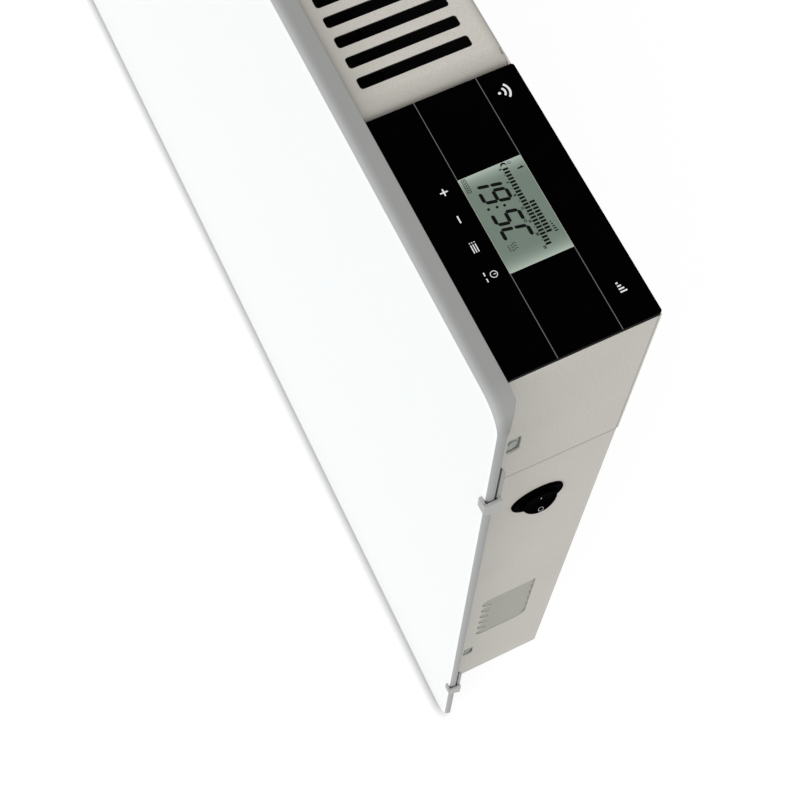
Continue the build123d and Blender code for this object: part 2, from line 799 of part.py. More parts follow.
# ---- Mains switch -----------------------------------------------------------------------------------
def switch_body():
    """Round snap-in body: bezel outside, barrel through the cheek."""
    centre = (side_x, switch_y, switch_z)
    bezel = rod(centre, (1, 0, 0), bezel_radius, bezel_thick)
    bezel = fillet(bezel.edges().sort_by(Axis.X)[-1], bezel_round)
    barrel = rod(centre, (-1, 0, 0), barrel_radius, barrel_depth)
    reach = bezel_thick + over
    cavity = rod((side_x + reach, switch_y, switch_z), (-1, 0, 0), rocker_radius + rocker_gap,
                 reach + pivot_inset + rocker_radius + rocker_gap)
    half = pivot_reach + pivot_end_play
    trunnions = rod((pivot_x, switch_y - half, switch_z), (0, 1, 0), pivot_radius + pivot_play, 2 * half)
    return bezel + barrel - cavity - trunnions


def switch_rocker():
    """Slice of a ball about the pivot, with a dished face and two trunnions."""
    wide = 2 * rocker_radius
    keep = block((-rocker_root, rocker_height), (-wide, wide), (-wide, wide))
    half = math.sqrt(rocker_radius ** 2 - rocker_height ** 2)
    dish_radius = (half ** 2 + rocker_dish ** 2) / (2 * rocker_dish)
    dish = rod((rocker_height - rocker_dish + dish_radius, -wide, 0), (0, 1, 0), dish_radius, 2 * wide)
    body = (Sphere(rocker_radius) & keep) - dish
    body += rod((0, -pivot_reach, 0), (0, 1, 0), pivot_radius, 2 * pivot_reach)
    return Pos(pivot_x, switch_y, switch_z) * Rot(0, -rocker_tilt, 0) * body


def switch_terminals():
    """Three blade terminals at the inner end of the barrel."""
    x = side_x - barrel_depth
    half = blade_thick / 2
    z = (switch_z - blade_width / 2, switch_z + blade_width / 2)
    return group(block((x - blade_length, x), (switch_y + i * blade_pitch - half,
                                               switch_y + i * blade_pitch + half), z)
                 for i in (-1, 0, 1))


# ---- Heating chamber ------------------------------------------------------------------------------------
def baffle(x_low):
    """Sheet between the chamber and the end of the casing. It carries the element."""
    plate = block((x_low, x_low + baffle_sheet), (inner_front_y, back_y),
                  (bottom_z + hem + baffle_room, top_z - hem - baffle_room))
    return plate - rod((x_low - over, element_y, element_z), (1, 0, 0), bush_radius + bush_play,
                       baffle_sheet + 2 * over)


def element_rod():
    """Sheathed heating rod that runs the length of the chamber."""
    start = baffle_left_x - rod_end
    end = baffle_right_x + baffle_sheet + rod_end
    return rod((start, element_y, element_z), (1, 0, 0), element_rod_radius, end - start)


def element_fins():
    """Extruded aluminium body round the rod: an upright web with level fins."""
    x = (baffle_left_x + baffle_sheet + fin_end_gap, baffle_right_x - fin_end_gap)
    length = x[1] - x[0]
    half_thick = fin_thick / 2
    half_height = fin_pitch * (fin_count - 1) / 2 + half_thick
    body = block(x, (element_y - half_thick, element_y + half_thick),
                 (element_z - half_height, element_z + half_height))
    for i in range(fin_count):
        z = element_z + (i - (fin_count - 1) / 2) * fin_pitch
        body += block(x, (element_y - fin_depth / 2, element_y + fin_depth / 2),
                      (z - half_thick, z + half_thick))
    body += rod((x[0], element_y, element_z), (1, 0, 0), element_hub_radius, length)
    return body - rod((x[0] - over, element_y, element_z), (1, 0, 0),
                      element_rod_radius + element_play, length + 2 * over)


def element_bushes():
    """Ceramic bushes that hold the rod in the two baffles."""
    bushes = []
    for x, out in ((baffle_left_x, -1), (baffle_right_x + baffle_sheet, 1)):
        centre = (x, element_y, element_z)
        through = rod(centre, (-out, 0, 0), bush_radius, baffle_sheet + bush_reach)
        flange = rod(centre, (out, 0, 0), bush_radius + bush_flange, bush_flange)
        bore = rod((x - rod_end, element_y, element_z), (1, 0, 0),
                   element_rod_radius + bush_bore_play, 2 * rod_end)
        bushes.append(through + flange - bore)
    return group(bushes)


def heat_shield():
    """Bright sheet between the element and the rear sheet, held by the two baffles."""
    y = element_y + fin_depth / 2 + shield_clear
    x = (baffle_left_x + baffle_sheet, baffle_right_x)
    z = (element_z - shield_height / 2, element_z + shield_height / 2)
    sheet = block(x, (y, y + shield_sheet), z)
    for x_tab in (x[0], x[1] - shield_sheet):
        sheet += block((x_tab, x_tab + shield_sheet), (y, y + shield_tab), z)
    return sheet


def air_deflector():
    """Blackened sheet under the grille that turns the warm air to the front."""
    high = top_z - deflector_drop
    front = back_y - deflector_reach
    low = high - deflector_rise
    return side_sheet([(back_y, high), (front, low), (front, low - shield_sheet),
                       (back_y, high - shield_sheet)],
                      (baffle_left_x + baffle_sheet, baffle_right_x))


def cutout_bracket():
    """Bent bracket on the right baffle, over the element, for the two cutouts."""
    sheet = cutout_bracket_sheet
    half = cutout_bracket_width / 2
    y = (element_y - half, element_y + half)
    plate = block((baffle_right_x - cutout_bracket_length, baffle_right_x), y,
                  (cutout_z, cutout_z + sheet))
    return plate + block((baffle_right_x - sheet, baffle_right_x), y,
                         (cutout_z, cutout_z + cutout_bracket_foot))


def overheat_cutouts():
    """Two bimetal cutouts under the bracket, facing the element."""
    return group(rod((baffle_right_x - cutout_inset - i * cutout_pitch, element_y, cutout_z),
                     (0, 0, -1), cutout_radius, cutout_height) for i in (0, 1))


# ---- Electrical bay ----------------------------------------------------------------------------
def cable_gland():
    """Bush for the mains lead, through the rear sheet."""
    outer = (gland_x, back_y + rear_sheet, gland_z)
    bush = rod(outer, (0, 1, 0), gland_radius + gland_flange, gland_flange)
    bush += rod(outer, (0, -1, 0), gland_radius, rear_sheet + gland_reach)
    bush += rod((gland_x, back_y, gland_z), (0, -1, 0), gland_radius + gland_collar, gland_collar)
    mouth = (gland_x, outer[1] + gland_flange + over, gland_z)
    return bush - rod(mouth, (0, -1, 0), gland_bore, gland_flange + rear_sheet + gland_reach + 2 * over)


def on_gland_line(size, above):
    """Moulding on the rear sheet, centred over the gland at a height above it."""
    wide, deep, high = size
    return block((gland_x - wide / 2, gland_x + wide / 2), (back_y - deep, back_y),
                 (gland_z + above, gland_z + above + high))


def cord_clamp():
    """Saddle that would clamp the lead inside the casing."""
    groove = rod((gland_x, back_y, gland_z + clamp_above_gland - over), (0, 0, 1), gland_bore,
                 clamp_size[2] + 2 * over)
    return on_gland_line(clamp_size, clamp_above_gland) - groove


def terminal_wells(radius, bottom, depth):
    """Round bars on the three poles. The first face lies a distance off the rear sheet."""
    z = gland_z + terminal_above_gland + terminal_size[2] / 2
    return [rod((gland_x + i * terminal_pitch, back_y - bottom, z), (0, -1, 0), radius, depth)
            for i in (-1, 0, 1)]


def terminal_block():
    """Three-pole mains terminal block on the rear sheet."""
    body = on_gland_line(terminal_size, terminal_above_gland)
    floor = terminal_size[1] - terminal_well
    for well in terminal_wells(terminal_well_radius, floor, terminal_well + over):
        body -= well
    return body


def terminal_screws():
    floor = terminal_size[1] - terminal_well
    return group(terminal_wells(terminal_screw_radius, floor, terminal_screw_length))


def earth_stud():
    """Earth stud and nut on the rear sheet."""
    start = (gland_x - earth_from_gland[0], back_y, gland_z + earth_from_gland[1])
    stud = rod(start, (0, -1, 0), earth_radius, earth_length)
    return stud + rod(start, (0, -1, 0), earth_nut_radius, earth_nut_thick)


def board_spacers():
    """Hexagonal spacers between the right baffle and the supply board."""
    start = baffle_right_x + baffle_sheet
    inset = spacer_hole_inset
    return group(Plane((start, y, z), z_dir=(1, 0, 0))
                 * extrude(RegularPolygon(spacer_size, 6), amount=board_stand)
                 for y in (supply_y[0] + inset, supply_y[1] - inset)
                 for z in (supply_z[0] + inset, supply_z[1] - inset))


def supply_board():
    """Circuit board with the mains supply and the relay."""
    return block((supply_x, supply_x + board_thick), supply_y, supply_z)


def on_supply(at, size):
    """Part that stands on the supply board, placed by its front lower corner."""
    x = supply_x + board_thick
    y, z = supply_y[0] + at[0], supply_z[0] + at[1]
    return block((x, x + size[0]), (y, y + size[1]), (z, z + size[2]))


def rounded_case(at, size):
    return fillet(on_supply(at, size).edges().filter_by(Axis.X), case_round)


def supply_transformer():
    """Laminated core with a taller coil inside it."""
    inset = [(core - coil) / 2 for core, coil in zip(transformer_core, transformer_coil)]
    coil_at = (transformer_at[0] + inset[1], transformer_at[1] + inset[2])
    return on_supply(transformer_at, transformer_core) + on_supply(coil_at, transformer_coil)


def supply_capacitor():
    """Round smoothing capacitor."""
    start = (supply_x + board_thick, supply_y[0] + can_at[0], supply_z[0] + can_at[1])
    can = rod(start, (1, 0, 0), can_radius, can_length)
    return fillet(can.edges().sort_by(Axis.X)[-1], case_round)


def lead_sockets():
    """Blade sockets along the front edge of the supply board."""
    return group(on_supply((socket_at[0], socket_at[1] + i * socket_pitch), socket_size)
                 for i in (0, 1))


def sensor_holder():
    """Clip on the inside of the cheek that holds the room sensor behind the vent."""
    wall_x = side_x - cheek_wall
    high = vent_top + sensor_above_vent - 2 * over
    low = high - holder_size[2]
    half = holder_size[1] / 2
    holder = block((wall_x - holder_size[0], wall_x), (sensor_y - half, sensor_y + half), (low, high))
    return holder - rod((sensor_x, sensor_y, low - over), (0, 0, 1),
                        sensor_radius + sensor_hole_play, holder_size[2] + 2 * over)


def room_sensor():
    """Temperature bead that hangs in the air drawn through the vent."""
    top = vent_top + sensor_above_vent
    stem = rod((sensor_x, sensor_y, top), (0, 0, -1), sensor_radius, sensor_length)
    return stem + Pos(sensor_x, sensor_y, top - sensor_length) * Sphere(sensor_radius)


# ---- Leads ----------------------------------------------------------------------------------------------
def lead(points):
    """Insulated lead: straight runs joined by tangent arcs."""
    vectors = [Vector(*p) for p in points]
    radii = []
    for a, b, c in zip(vectors, vectors[1:], vectors[2:]):
        turn = math.radians((b - a).get_angle(c - b))
        radii.append(0.45 * min((b - a).length, (c - b).length) / math.tan(turn / 2))
    path = FilletPolyline(*points, radius=radii)
    start = Plane(path @ 0, z_dir=path % 0)
    tube = sweep(start * Circle(lead_radius), path=path)
    print("lead", round(path.length, 1), "volume", round(tube.volume, 1),
          "expected", round(path.length * math.pi * lead_radius ** 2, 1),
          "radii", [round(r, 1) for r in radii])
    return tube


def element_leads():
    """Two leads from the mains terminals to the right end of the heating rod."""
    rod_x = baffle_right_x + baffle_sheet + rod_end
    y = back_y - terminal_size[1] + terminal_well - terminal_screw_length
    z = gland_z + terminal_above_gland + terminal_size[2] / 2
    leads = []
    for pole, side in ((-1, -1), (0, 1)):
        x = gland_x + pole * terminal_pitch
        rod_y = element_y + side * rod_lead_offset
        leads.append(lead([
            (x, y, z),
            (x, y - terminal_exit, z),
            (rod_x + rod_exit, rod_y, element_z),
            (rod_x, rod_y, element_z),
        ]))
    return group(leads)


def switch_leads():
    """Two leads from the supply board to the mains switch."""
    leads = []
    x = supply_x + board_thick + socket_size[0]
    y = supply_y[0] + socket_at[0] + socket_size[1] / 2
    end_x = side_x - barrel_depth - blade_length
    for i, pole in ((0, -1), (1, 1)):
        z = supply_z[0] + socket_at[1] + i * socket_pitch + socket_size[2] / 2
        end_y = switch_y + pole * blade_pitch
        leads.append(lead([
            (x, y, z),
            (x + socket_exit, y, z),
            (end_x - blade_exit, end_y, switch_z),
            (end_x, end_y, switch_z),
        ]))
    return group(leads)


def sensor_lead():
    """Thin lead from the room sensor up to the control board, bowed in past the switch."""
    low = vent_top + sensor_above_vent + lead_gap
    rise = board_z - board_thick - lead_gap - low
    inwards, back = sensor_bow
    shape = [(0, 0, 0), (0, 0.06, 0.05), (0.85, 0.93, 0.16), (1, 1.06, 0.34),
             (1.08, 1, 0.52), (1, 0.8, 0.69), (0.95, 0.27, 0.91), (0.95, 0.27, 1)]
    return lead([(sensor_x - a * inwards, sensor_y + b * back, low + c * rise) for a, b, c in shape])


# ---- Wall frame -----------------------------------------------------------------------------------------
def wall_frame():
    """Welded frame: two channel rails, two cross bars and four hooks."""
    web_y = -wall_gap + frame_clear
    half = frame_rail_width / 2
    z = (-frame_half_height, frame_half_height)
    inner = rail_x - half
    solids = []
    for side in (-1, 1):
        x0 = side * rail_x
        solids.append(block((x0 - half, x0 + half), (web_y, web_y + frame_sheet), z))
        for x in (x0 - half, x0 + half - frame_sheet):
            solids.append(block((x, x + frame_sheet), (web_y, 0), z))
        foot_x = sorted((side * (rail_x + half), side * (rail_x + half + frame_foot)))
        solids.append(block(foot_x, (-frame_sheet, 0), z))
        centre = side * bolt_spacing_z / 2
        solids.append(block((-inner, inner), (-frame_sheet, 0),
                            (centre - cross_bar_height / 2, centre + cross_bar_height / 2)))
    tip_back = back_y - hook_plate - hook_throat
    for x, hz in hook_places():
        hook_x = (x - hook_width / 2, x + hook_width / 2)
        neck_z = (hz - hook_neck, hz)
        solids.append(block(hook_x, (tip_back - hook_neck, web_y + frame_sheet), neck_z))
        solids.append(block(hook_x, (tip_back - hook_neck, tip_back), (hz - hook_neck, hz + hook_tip)))
    frame = solids[0].fuse(*solids[1:])
    for sx in (-1, 1):
        for sz in (-1, 1):
            centre = (sx * bolt_spacing_x / 2, -frame_sheet - over, sz * bolt_spacing_z / 2)
            frame -= rod(centre, (0, 1, 0), bolt_hole_radius, frame_sheet + 2 * over)
    return frame


def wall_spacers():
    """Moulded spacers that keep the foot of the heater off the wall."""
    x = side_x - spacer_inset
    return group(rod((side * x, -wall_gap, bottom_z + spacer_rise), (0, 1, 0), spacer_radius, wall_gap)
                 for side in (-1, 1))


# ---- Write every sub-part ---------------------------------------------------------------------------------
parts = {
    "wall_frame": wall_frame(),
    "front_panel": front_panel(),
    "panel_rail_upper": panel_rail(top_z - rail_drop - rail_height),
    "panel_rail_lower": panel_rail(bottom_z + rail_rise),
    "panel_clip_right_upper": panel_clip(1, clip_lows[0]),
    "panel_clip_right_lower": panel_clip(1, clip_lows[1]),
    "panel_clip_left_upper": panel_clip(-1, clip_lows[0]),
    "panel_clip_left_lower": panel_clip(-1, clip_lows[1]),
    "clip_screws": clip_screws(),
    "panel_lugs": panel_lugs(),
    "lug_screws": lug_screws(),
    "front_plate": front_plate(),
    "rear_panel": rear_panel(),
    "rear_screws": rear_screws(),
    "hook_plates": hook_plates(),
    "wall_spacers": wall_spacers(),
    "top_grille": top_grille(),
    "bottom_grille": bottom_grille(),
    "right_cheek": right_cheek(),
    "left_cheek": left_cheek(),
    "head_housing": head_housing(),
    "control_glass": control_glass(),
    "lcd_module": lcd_module(),
    "lcd_frame": lcd_frame(),
    "control_board": control_board(),
    "board_screws": board_screws(),
    "touch_pads": touch_pads(),
    "radio_module": radio_module(),
    "switch_body": switch_body(),
    "switch_rocker": switch_rocker(),
    "switch_terminals": switch_terminals(),
    "baffle_right": baffle(baffle_right_x),
    "baffle_left": baffle(baffle_left_x),
    "element_rod": element_rod(),
    "element_fins": element_fins(),
    "element_bushes": element_bushes(),
    "heat_shield": heat_shield(),
    "air_deflector": air_deflector(),
    "cutout_bracket": cutout_bracket(),
    "overheat_cutouts": overheat_cutouts(),
    "supply_board": supply_board(),
    "board_spacers": board_spacers(),
    "relay": rounded_case(relay_at, relay_size),
    "supply_transformer": supply_transformer(),
    "filter_capacitor": rounded_case(filter_at, filter_size),
    "supply_capacitor": supply_capacitor(),
    "lead_sockets": lead_sockets(),
    "terminal_block": terminal_block(),
    "terminal_screws": terminal_screws(),
    "cord_clamp": cord_clamp(),
    "cable_gland": cable_gland(),
    "earth_stud": earth_stud(),
    "sensor_holder": sensor_holder(),
    "room_sensor": room_sensor(),
    "element_leads": element_leads(),
    "switch_leads": switch_leads(),
    "sensor_lead": sensor_lead(),
}

os.makedirs("parts", exist_ok=True)
for name, shape in parts.items():
    export_step(shape, f"parts/{name}.step")
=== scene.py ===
import math
import bpy
import numpy as np
from mathutils import Euler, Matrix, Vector


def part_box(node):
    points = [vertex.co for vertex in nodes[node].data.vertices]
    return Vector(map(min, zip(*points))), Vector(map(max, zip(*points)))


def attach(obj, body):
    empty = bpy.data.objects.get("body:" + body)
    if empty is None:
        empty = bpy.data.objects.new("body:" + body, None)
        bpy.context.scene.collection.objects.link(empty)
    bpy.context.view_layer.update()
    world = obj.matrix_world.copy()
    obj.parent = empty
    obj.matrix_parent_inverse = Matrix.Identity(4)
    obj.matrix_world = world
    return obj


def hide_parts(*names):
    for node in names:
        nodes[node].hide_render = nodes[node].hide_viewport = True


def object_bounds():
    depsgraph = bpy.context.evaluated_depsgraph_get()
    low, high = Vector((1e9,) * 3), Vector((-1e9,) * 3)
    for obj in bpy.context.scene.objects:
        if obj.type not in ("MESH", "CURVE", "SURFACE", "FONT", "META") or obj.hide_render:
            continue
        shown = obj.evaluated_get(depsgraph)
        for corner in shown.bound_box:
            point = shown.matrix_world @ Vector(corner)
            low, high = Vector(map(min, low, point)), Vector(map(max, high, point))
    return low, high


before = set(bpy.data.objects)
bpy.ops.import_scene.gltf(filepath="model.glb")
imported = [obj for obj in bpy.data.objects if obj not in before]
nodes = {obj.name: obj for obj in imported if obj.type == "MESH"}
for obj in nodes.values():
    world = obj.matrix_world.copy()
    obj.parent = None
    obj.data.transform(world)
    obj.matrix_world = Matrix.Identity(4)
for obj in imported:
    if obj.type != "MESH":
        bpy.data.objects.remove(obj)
cad_low, cad_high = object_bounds()

# ---- Camera, floor and light -------------------------------------------------------------------
# The heater is seen from above its right end, so near that the far end runs out of the
# picture. It stands on a plain white studio floor under soft, even light. Places and sizes
# in this file are in millimetres, and MM makes them metres.
MM = 0.001
EYE = (532.24, -200.57, 685.00)
EYE_TURN = (22.1205, -0.4970, 64.2857)
EYE_LENS = 68.866
EYE_FILM = 36
FLOOR_GAP = 0.5
FLOOR_HALF = 6000.0
FLOOR_BASE = 0.30
FLOOR_GLOW = (0.44, 0.785)
FOOT_SHADE = 7.0
SKY_FILL = 0.50
SUNS = {"key_light": ((0.20, -1.00, 0.42), 1.10, 50),      # direction, power, width in degrees
        "side_light": ((0.70, -0.10, 0.92), 1.00, 60)}

eye = bpy.data.cameras.new("camera")
eye.sensor_width = EYE_FILM
eye.lens = EYE_LENS
camera = bpy.data.objects.new("camera", eye)
camera.location = Vector(EYE) * MM
camera.rotation_euler = Euler([math.radians(angle) for angle in EYE_TURN])
bpy.context.scene.collection.objects.link(camera)
bpy.context.scene.camera = camera
bpy.context.scene.view_settings.view_transform = "Standard"


def add(tree, kind, inputs=(), **settings):
    """Adds a shader node. Each input takes a plain value or another node's output."""
    made = tree.nodes.new("ShaderNode" + kind)
    for setting, value in settings.items():
        setattr(made, setting, value)
    for socket, value in dict(inputs).items():
        if isinstance(value, bpy.types.NodeSocket):
            tree.links.new(value, made.inputs[socket])
        else:
            made.inputs[socket].default_value = value
    return made


def calc(tree, operation, *values, **settings):
    """One step of arithmetic on outputs and plain numbers."""
    return add(tree, "Math", dict(enumerate(values)), operation=operation, **settings).outputs[0]


def ramp(tree, value, start, end, low=0.0, high=1.0):
    """Straight ramp from low at the start to high at the end, level beyond both."""
    return add(tree, "MapRange", {"Value": value, "From Min": start, "From Max": end, "To Min": low,
                                  "To Max": high}).outputs["Result"]


def seen_directly(tree):
    """1 for what the camera sees straight, in a gloss or through glass, 0 for light that falls."""
    path = add(tree, "LightPath").outputs
    gloss = calc(tree, "MAXIMUM", path["Is Camera Ray"], path["Is Glossy Ray"])
    return calc(tree, "MAXIMUM", gloss, path["Is Transmission Ray"])


sky = bpy.data.worlds.new("white_studio")
sky.use_nodes = True
bpy.context.scene.world = sky
sky_light = sky.node_tree.nodes["Background"]
sky_light.inputs["Color"].default_value = (1, 1, 1, 1)
sky_strength = ramp(sky.node_tree, seen_directly(sky.node_tree), 0.0, 1.0, SKY_FILL, 1.0)
sky.node_tree.links.new(sky_strength, sky_light.inputs["Strength"])

for label, (direction, power, softness) in SUNS.items():
    lamp = bpy.data.lights.new(label, "SUN")
    lamp.energy = power
    lamp.angle = math.radians(softness)
    sun = bpy.data.objects.new(label, lamp)
    sun.rotation_euler = Vector(direction).to_track_quat("Z", "Y").to_euler()
    bpy.context.scene.collection.objects.link(sun)

floor_z = cad_low.z - FLOOR_GAP * MM
floor_corners = [(x * FLOOR_HALF * MM, y * FLOOR_HALF * MM, floor_z)
                 for x, y in ((-1, -1), (1, -1), (1, 1), (-1, 1))]
floor_mesh = bpy.data.meshes.new("floor")
floor_mesh.from_pydata(floor_corners, [], [(0, 1, 2, 3)])
floor = bpy.data.objects.new("floor", floor_mesh)
bpy.context.scene.collection.objects.link(floor)
floor_paint = bpy.data.materials.new("studio_floor")
floor_paint.use_nodes = True
floor_tree = floor_paint.node_tree
floor_shader = floor_tree.nodes["Principled BSDF"]
floor_shader.inputs["Roughness"].default_value = 1.0
floor_shader.inputs["Specular IOR Level"].default_value = 0.0
floor_glow = ramp(floor_tree, seen_directly(floor_tree), 0.0, 1.0, *FLOOR_GLOW)
floor_tree.links.new(floor_glow, floor_shader.inputs["Emission Strength"])
# Painted contact shadow: ambient occlusion near the heater darkens the floor's colour and glow.
painted_foot_shadow = add(floor_tree, "AmbientOcclusion", {"Distance": FOOT_SHADE * MM}, samples=8).outputs["AO"]
for socket, level in (("Base Color", FLOOR_BASE), ("Emission Color", 1.0)):
    floor_tree.links.new(calc(floor_tree, "MULTIPLY", painted_foot_shadow, level), floor_shader.inputs[socket])
floor_mesh.materials.append(floor_paint)


# ---- Front panel -------------------------------------------------------------------------------
# A pressed steel tray in white semi-gloss stove enamel. Its face is white, and the rounded
# edge and the flanges behind it are greyed with painted shade. It is held by four clips.
PANEL_WHITE = (248, 252, 252)
PANEL_LIGHT = (254, 255, 255)
PANEL_EDGE_SHADE = (180, 181, 181)
PANEL_FLANGE_SHADE = (159, 160, 158)
PANEL_END_SHADE = (118, 120, 118)
PANEL_END_SHADE_SHARE = 0.35
PANEL_END_X = (386.5, 389.5)     # from the middle, where painted shade darkens the ends
EDGE_BEHIND = (0.27, 0.40)       # behind the face, where the white turns to the edge's painted shade
FLANGE_BEHIND = (0.9, 4.0)       # behind the face, where the edge's painted shade turns to the flange's darker painted shade
BROAD_PER_METRE = 22.0           # of the uneven depth of colour, and its share of the colour
BROAD_SHARE = 0.35


def shade(colour):
    """Screen colour from 0 to 255 as the linear colour that a shader takes."""
    part = np.array(colour, float) / 255
    linear = np.where(part <= 0.04045, part / 12.92, ((part + 0.055) / 1.055) ** 2.4)
    return (*linear, 1.0)


def effect(label, inputs, outputs):
    """Empty shader node group, with its inputs as (name, kind, value) and outputs as (name, kind)."""
    tree = bpy.data.node_groups.new(label, "ShaderNodeTree")
    for name, kind, value in inputs:
        socket = tree.interface.new_socket(name, in_out="INPUT", socket_type="NodeSocket" + kind)
        if value is not None:
            socket.default_value = value
    for name, kind in outputs:
        tree.interface.new_socket(name, in_out="OUTPUT", socket_type="NodeSocket" + kind)
    return tree, tree.nodes.new("NodeGroupInput").outputs, tree.nodes.new("NodeGroupOutput").inputs


def blend_colour(tree, factor, first, second):
    """Mixes two colours, each a plain value or an output. A factor of 0 is all the first one."""
    made = tree.nodes.new("ShaderNodeMix")
    made.data_type = "RGBA"
    colours = [socket for socket in made.inputs if socket.type == "RGBA"]
    for socket, value in zip(colours, (first, second)):
        if isinstance(value, bpy.types.NodeSocket):
            tree.links.new(value, socket)
        else:
            socket.default_value = value
    tree.links.new(factor, made.inputs[0])
    return next(socket for socket in made.outputs if socket.type == "RGBA")


def build_grain():
    """Coat grain: fine noise for the specks, broad noise for uneven depth of colour.
    Colour runs from Dark to Light with the specks, Roughness and Height follow the same noise."""
    tree, given, out = effect("coat_grain", [
        ("Vector", "Vector", None), ("Dark", "Color", (0.4, 0.4, 0.4, 1)),
        ("Light", "Color", (0.6, 0.6, 0.6, 1)), ("Grains per metre", "Float", 1500.0),
        ("Contrast", "Float", 1.0), ("Roughness", "Float", 0.5), ("Roughness spread", "Float", 0.1),
    ], [("Color", "Color"), ("Roughness", "Float"), ("Height", "Float")])
    fine = add(tree, "TexNoise", {"Vector": given["Vector"], "Scale": given["Grains per metre"],
                                  "Detail": 3.0, "Roughness": 0.6}).outputs["Fac"]
    broad = add(tree, "TexNoise", {"Vector": given["Vector"], "Scale": BROAD_PER_METRE,
                                   "Detail": 3.0}).outputs["Fac"]
    centred = calc(tree, "SUBTRACT", fine, 0.5)
    specks = calc(tree, "MULTIPLY", centred, given["Contrast"])
    depth = calc(tree, "MULTIPLY_ADD", broad, BROAD_SHARE, 0.5 - BROAD_SHARE / 2)
    mixed = calc(tree, "ADD", specks, depth, use_clamp=True)
    tree.links.new(blend_colour(tree, mixed, given["Dark"], given["Light"]), out["Color"])
    gloss = calc(tree, "MULTIPLY_ADD", centred, given["Roughness spread"], given["Roughness"])
    tree.links.new(gloss, out["Roughness"])
    tree.links.new(fine, out["Height"])
    return tree


def build_edges():
    """Edge rounding: the normal is averaged over a small radius, and Wear is how far that
    average leans away from the flat face, which is highest along the sharp edges."""
    tree, given, out = effect("edge_round", [("Radius", "Float", 0.4 * MM)],
                              [("Normal", "Vector"), ("Wear", "Float")])
    soft = add(tree, "Bevel", {"Radius": given["Radius"]}, samples=4).outputs["Normal"]
    face = add(tree, "NewGeometry").outputs["Normal"]
    lean = add(tree, "VectorMath", {0: soft, 1: face}, operation="DOT_PRODUCT").outputs["Value"]
    tree.links.new(soft, out["Normal"])
    tree.links.new(ramp(tree, lean, 1.0, 0.75), out["Wear"])
    return tree


coat_grain = build_grain()
edge_round = build_edges()


def speckle(tree, place, dark, light, grains, contrast, roughness, spread):
    """The coat grain between two screen colours. Grains are counted per metre."""
    return add(tree, "Group", {"Vector": place, "Dark": shade(dark), "Light": shade(light),
                               "Grains per metre": grains, "Contrast": contrast,
                               "Roughness": roughness, "Roughness spread": spread},
               node_tree=coat_grain).outputs


def soften(tree, radius):
    """The edge rounding at one radius."""
    return add(tree, "Group", {"Radius": radius * MM}, node_tree=edge_round).outputs


def raised(tree, height, strength, depth, normal=None):
    """Normal of a surface that the grain lifts, over rounded edges where their normal is given."""
    inputs = {"Height": height, "Strength": strength, "Distance": depth * MM}
    if normal is not None:
        inputs["Normal"] = normal
    return add(tree, "Bump", inputs).outputs[0]


def finish(label, **values):
    """New material. The plain values go on the sockets of its own Principled shader."""
    made = bpy.data.materials.new(label)
    made.use_nodes = True
    shader = made.node_tree.nodes["Principled BSDF"]
    for socket, value in values.items():
        shader.inputs[socket.replace("_", " ")].default_value = value
    place = add(made.node_tree, "TexCoord").outputs["Object"]
    return made, made.node_tree, shader, place


def plug(tree, shader, **sources):
    """Links outputs to the sockets of a Principled shader."""
    for socket, output in sources.items():
        tree.links.new(output, shader.inputs[socket.replace("_", " ")])


def coat(material, *names):
    """Gives a finish to carried-over nodes through their material slots."""
    for name in names:
        for slot in nodes[name].material_slots:
            slot.material = material


def along(tree, place, axis, start, end):
    """0 before a place along X, Y or Z, 1 after another, and a straight ramp between."""
    return ramp(tree, add(tree, "SeparateXYZ", {0: place}).outputs[axis], start * MM, end * MM)


def from_middle(tree, place, start, end):
    """0 before a distance to either side of the heater's middle, 1 after another, and a
    straight ramp between."""
    across = add(tree, "SeparateXYZ", {0: place}).outputs["X"]
    return ramp(tree, calc(tree, "ABSOLUTE", across), start * MM, end * MM)


def product(tree, *masks):
    """Masks multiplied with each other."""
    mixed = masks[0]
    for mask in masks[1:]:
        mixed = calc(tree, "MULTIPLY", mixed, mask)
    return mixed


panel_face_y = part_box("front_panel")[0].y / MM
enamel, tree, shader, place = finish("panel_enamel", Specular_IOR_Level=0.06)
peel = speckle(tree, place, PANEL_WHITE, PANEL_LIGHT, grains=420.0, contrast=0.6, roughness=0.36,
               spread=0.10)
rim = soften(tree, 0.35)
on_edge, on_flange = (along(tree, place, "Y", panel_face_y + start, panel_face_y + end)
                      for start, end in (EDGE_BEHIND, FLANGE_BEHIND))
on_end = product(tree, from_middle(tree, place, *PANEL_END_X), on_edge, PANEL_END_SHADE_SHARE)
# Painted shade: the rounded edge, the flanges and their ends are greyed where they turn from the light.
colour = blend_colour(tree, on_edge, peel["Color"], shade(PANEL_EDGE_SHADE))
colour = blend_colour(tree, on_flange, colour, shade(PANEL_FLANGE_SHADE))
colour = blend_colour(tree, on_end, colour, shade(PANEL_END_SHADE))
plug(tree, shader, Base_Color=colour, Roughness=peel["Roughness"],
     Normal=raised(tree, peel["Height"], strength=0.10, depth=0.02, normal=rim["Normal"]))
coat(enamel, "front_panel")


# ---- Rails, lugs and clips of the panel --------------------------------------------------------
# Top-hat rails in the panel's pale grey back coat, welded lugs in a greenish grey, and four
# bent grey clips, screwed to the casing, that wrap round the panel's side edge. A clip's lip
# stands just behind the panel's flange; its side carries painted shade and a painted dark gap line.
LIP_X = 390.2
LIP_Y = (-88.5, -86.1)
LIP_SHADE = (146, 147, 145)
LIP_GAP_Y = (-88.5, -87.95)
LIP_GAP_SHADE = (22, 22, 22)
MASK_SOFT = 0.1
WORN_LIGHTER = 14
WORN_SHARE = 0.45

